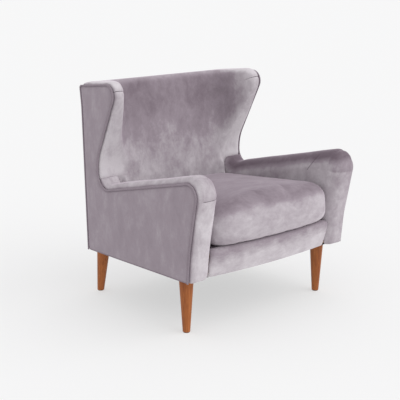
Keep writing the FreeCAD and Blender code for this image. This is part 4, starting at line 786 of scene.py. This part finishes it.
DUST_EDGE = np.array([(-384.0, -288.0), (384.0, -288.0), (354.0, 324.5), (-354.0, 324.5)])  # x and y
DUST_EDGE_STEP = 9.0
DUST_GRID = np.meshgrid(np.arange(-370, 370, 11.0), np.arange(-280, 320, 11.0))
DUST_GRID_GAP = 6.0  # no point of the grid is nearer than this to an edge
DUST_THICKNESS = 0.8
DUST_SLACK = 5.0
DUST_PUCKER = 0.45
DUST_GAP = 0.6       # between the cloth's edge and the wood
TACK_PITCH = 38.0
LEG_AXES = np.array([(-341.0, -232.0), (341.0, -232.0), (-312.0, 312.4), (312.0, 312.4)])  # x and y
LEG_HOLE = 28.2
HOLE_SIDES = 32


def under_seat(y):
    """Height of the seat frame's underside: the straight line between the side's two bottom corners."""
    (rear_y, rear_z), (front_y, front_z) = SIDE_CORNERS[0, :2], SIDE_CORNERS[-1, :2]
    return front_z + (y - front_y) * (rear_z - front_z) / (rear_y - front_y)


def tacked_sheet(name, outline, holes, radius, thickness, place):
    """A sheet inside an outline less round holes, as two faces one thickness apart that are joined at every
    edge which belongs to one triangle only. place(points) puts the upper face in the chair."""
    edge = even(np.concatenate([outline, outline[:1]]), DUST_EDGE_STEP)[:-1]
    turn = np.linspace(0, 2 * np.pi, HOLE_SIDES, endpoint=False)
    rings = [hole + radius * np.stack([np.cos(turn), np.sin(turn)], -1) for hole in holes]
    inner = np.stack(DUST_GRID, -1).reshape(-1, 2)
    border, start = [], 0
    for loop in [edge, *rings]:
        border += [(start + i, start + (i + 1) % len(loop)) for i in range(len(loop))]
        start += len(loop)
    near, _ = nearest(inner, np.concatenate([edge, *rings]))
    points = np.concatenate([edge, *rings, inner[near > DUST_GRID_GAP]])
    flat, _, faces, *_ = delaunay_2d_cdt([Vector(p) for p in points], border, [], 0, 1e-6)
    flat, faces = np.array([tuple(p) for p in flat]), np.array([tuple(face) for face in faces])
    # Triangles outside the outline or inside a hole are left out.
    middle = flat[faces].mean(1)
    half = np.interp(middle[:, 1], outline[[1, 2], 1], outline[[1, 2], 0])
    kept = (np.abs(middle[:, 0]) < half) & (middle[:, 1] > outline[0, 1]) & (middle[:, 1] < outline[2, 1])
    for hole in holes:
        kept &= np.linalg.norm(middle - hole, axis=1) > radius * 0.995
    faces = faces[kept]
    pairs = np.sort(np.concatenate([faces[:, [0, 1]], faces[:, [1, 2]], faces[:, [2, 0]]]), 1)
    pairs, used = np.unique(pairs, axis=0, return_counts=True)
    rim, size = pairs[used == 1], len(flat)
    walls = np.stack([rim[:, 0], rim[:, 1], rim[:, 1] + size, rim[:, 0] + size], -1)
    upper = place(flat)
    both = np.concatenate([upper, upper - (0, 0, thickness)])
    return recalculated(new_piece(name, both, faces.tolist() + (faces + size).tolist() + walls.tolist()))


def hung(flat):
    """The cloth's points under the seat: a slack middle, and puckers that die away from the tacked edge."""
    x, y = flat.T
    half = np.interp(y, DUST_EDGE[[1, 2], 1], DUST_EDGE[[1, 2], 0])
    inset = np.minimum(half - np.abs(x), np.minimum(y - DUST_EDGE[0, 1], DUST_EDGE[2, 1] - y))
    slack = DUST_SLACK * ease(inset, 6, 170) + ripple(x, y, 0.5) * ease(inset, 5, 60)
    pucker = DUST_PUCKER * (1 - np.cos(2 * np.pi * (x + y) / TACK_PITCH)) * np.exp(-inset / 14)
    return np.stack([x, y, under_seat(y) - DUST_GAP - slack - pucker], -1)


def fine_grained(name, dark, light, grain, roughness, metallic=0.0):
    """A close-grained or cast material: fine noise in two near tones, with a slight bump."""
    material, tree, shader = new_material(name, Roughness=roughness, Metallic=metallic)
    here = add(tree, "ShaderNodeTexCoord").outputs["Object"]
    speck = add(tree, "ShaderNodeTexNoise", {
        "Vector": here, "Scale": 1 / (grain * MM), "Detail": 5.0}).outputs[0]
    tone = add(tree, "ShaderNodeValToRGB", {"Fac": speck}, stops=[(0.3, dark), (0.7, light)]).outputs["Color"]
    raised = add(tree, "ShaderNodeBump", {
        "Height": speck, "Strength": 0.3, "Distance": 0.2 * MM}).outputs[0]
    tree.links.new(tone, shader.inputs["Base Color"])
    tree.links.new(raised, shader.inputs["Normal"])
    return material


dust_cloth = tacked_sheet("dust_cloth", DUST_EDGE, LEG_AXES, LEG_HOLE, DUST_THICKNESS, hung)
# Polypropylene fibres, spun, laid and bonded by heat in dots 1.6 mm apart: dull black with a faint speckle.
dust_bond = fine_grained("black_bonded_cloth", "#161616", "#2b2a2b", 1.6, 0.95)
dress(dust_cloth, dust_bond)
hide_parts("dust_cover")

# Parts inside the upholstery keep their plain shapes: beech rails and posts, birch plywood wings, hardboard
# arm linings, steel springs and fixings, hessian, webbing, felt glides, foam, and the cushion's zip.


def planed_wood(name, dark, light, grain, stretch):
    """Unfinished wood: noise of the grain's width, drawn out along its axis."""
    material, tree, shader = new_material(name, Roughness=0.62)
    here = add(tree, "ShaderNodeTexCoord").outputs["Object"]
    drawn = add(tree, "ShaderNodeMapping", {"Vector": here, "Scale": stretch}).outputs[0]
    figure = add(tree, "ShaderNodeTexNoise", {
        "Vector": drawn, "Scale": 1 / (grain * MM), "Detail": 6.0}).outputs[0]
    tone = add(tree, "ShaderNodeValToRGB", {"Fac": figure}, stops=[
        (0.35, light), (0.7, dark)]).outputs["Color"]
    raised = add(tree, "ShaderNodeBump", {
        "Height": figure, "Strength": 0.2, "Distance": 0.3 * MM}).outputs[0]
    tree.links.new(tone, shader.inputs["Base Color"])
    tree.links.new(raised, shader.inputs["Normal"])
    return material


# Beech, sawn and planed but not finished: pale pinkish brown with soft stripes along the grain and no shine.
upright_beech = planed_wood("planed_beech_upright", "#a98760", "#cfae83", 6, (1, 1, 0.06))
cross_beech = planed_wood("planed_beech_across", "#a98760", "#cfae83", 6, (0.06, 1, 1))
deep_beech = planed_wood("planed_beech_front_to_back", "#a98760", "#cfae83", 6, (1, 0.06, 1))
# Birch veneers, peeled and glued to plywood: paler and yellower, with broader stripes.
plywood = planed_wood("birch_plywood", "#b99a6c", "#dcc49a", 9, (1, 0.08, 1))
# Wood fibre, pressed hot to board: even dark brown, a little smoother than the wood.
hardboard = fine_grained("pressed_hardboard", "#5a432f", "#7a5d43", 1.5, 0.7)
# Steel, plated with zinc in a bath: cool light grey with a soft metal shine.
zinc = fine_grained("zinc_plated_steel", "#9c9da0", "#bcbdc0", 3, 0.38, 1.0)
# Brass, darkened in acid and tumbled: brown yellow, brighter where it was rubbed, with a soft metal shine.
brass = fine_grained("antiqued_brass", "#7d663c", "#a58a55", 2, 0.42, 1.0)
# Jute, spun coarse and woven open: rough yellow brown squares. The yarn is 1.8 mm wide.
hessian = woven("jute_hessian", "#8a734c", "#b79d70", 1.8)
# Elastic and polypropylene yarns, woven tight: dull brown bands with a clear rib.
webbing = woven("elastic_webbing", "#6f5d44", "#93805f", 2.4)
# Polyester yarn, woven fine and dyed with the velvet: a flat mauve grey strip.
zip_tape = woven("woven_zip_tape", "#5a4e57", "#776a74", 0.8)
# Wool, pressed wet to felt: matt, dark and slightly uneven.
felt = fine_grained("pressed_wool_felt", "#2f2c2a", "#4a4643", 1.2, 0.95)
INSIDE = [
    (upright_beech, ["arm_post_left", "arm_post_right", "back_post_left", "back_post_right"]),
    (cross_beech, ["seat_front_rail", "seat_rear_rail", "back_crest_rail", "back_lumbar_rail"]),
    (deep_beech, ["arm_base_rail_left", "arm_base_rail_right", "seat_side_rail_left", "seat_side_rail_right",
                  "arm_rail_left", "arm_rail_right", "corner_block_front_left", "corner_block_front_right",
                  "corner_block_rear_left", "corner_block_rear_right"]),
    (plywood, ["wing_frame_left", "wing_frame_right"]),
    (hardboard, ["inside_arm_board_left", "inside_arm_board_right"]),
    (zinc, ["hanger_bolts", "threaded_inserts", "sinuous_springs", "spring_clips"]),
    (brass, ["zip_slider"]),
    (hessian, ["deck_insulator"]),
    (webbing, ["back_webbing"]),
    (zip_tape, ["cushion_zip"]),
    (felt, ["felt_glides"]),
]
for material, names in INSIDE:
    for name in names:
        finish_node(name, material)

# Floor, light and camera: a pale seamless floor under an even studio sky, one broad soft light from the front
# left, and the photograph's own viewpoint.

FLOOR_RADIUS, FLOOR_SIDES = 30000.0, 96
CAMERA_PLACE = Vector((-2.389, -2.657, 1.289))
CAMERA_AIM = Vector((-0.0328, 0.048, 0.3843))
LIGHT_WAY = Vector((-0.7, 1.0, -0.75))


def in_scene(name, data):
    """A light or a camera as an object of the scene, which turns by a quaternion."""
    item = bpy.data.objects.new(name, data)
    bpy.context.scene.collection.objects.link(item)
    item.rotation_mode = "QUATERNION"
    return item


# Matt painted studio floor: nearly as light as the wall behind, so only a soft shadow shows under the chair.
floor_paint, _, _ = new_material(
    "pale_floor", Base_Color=linear("#a6a6a6"), Roughness=0.9, Specular_IOR_Level=0.0,
    Emission_Color=linear("#f6f6f6"), Emission_Strength=0.56)
angle = np.linspace(0, 2 * np.pi, FLOOR_SIDES, endpoint=False)
rim = FLOOR_RADIUS * np.stack([np.cos(angle), np.sin(angle), 0 * angle], -1)
floor = new_piece("floor", rim, [tuple(range(FLOOR_SIDES))])
floor.data.materials.append(floor_paint)

world = bpy.data.worlds.new("studio")
bpy.context.scene.world = world
world.use_nodes = True
background = world.node_tree.nodes["Background"]
background.inputs["Color"].default_value = linear("#f8f8f9")
background.inputs["Strength"].default_value = 0.96

key = bpy.data.lights.new("key", "SUN")
key.energy, key.angle = 1.15, np.radians(70)
in_scene("key", key).rotation_quaternion = LIGHT_WAY.to_track_quat("-Z", "Y")

camera_data = bpy.data.cameras.new("camera")
camera_data.lens, camera_data.sensor_width = 85.0, 36.0
camera = in_scene("camera", camera_data)
camera.location = CAMERA_PLACE
camera.rotation_quaternion = (CAMERA_AIM - CAMERA_PLACE).to_track_quat("-Z", "Y")
bpy.context.scene.camera = camera
bpy.context.scene.view_settings.view_transform = "Standard"
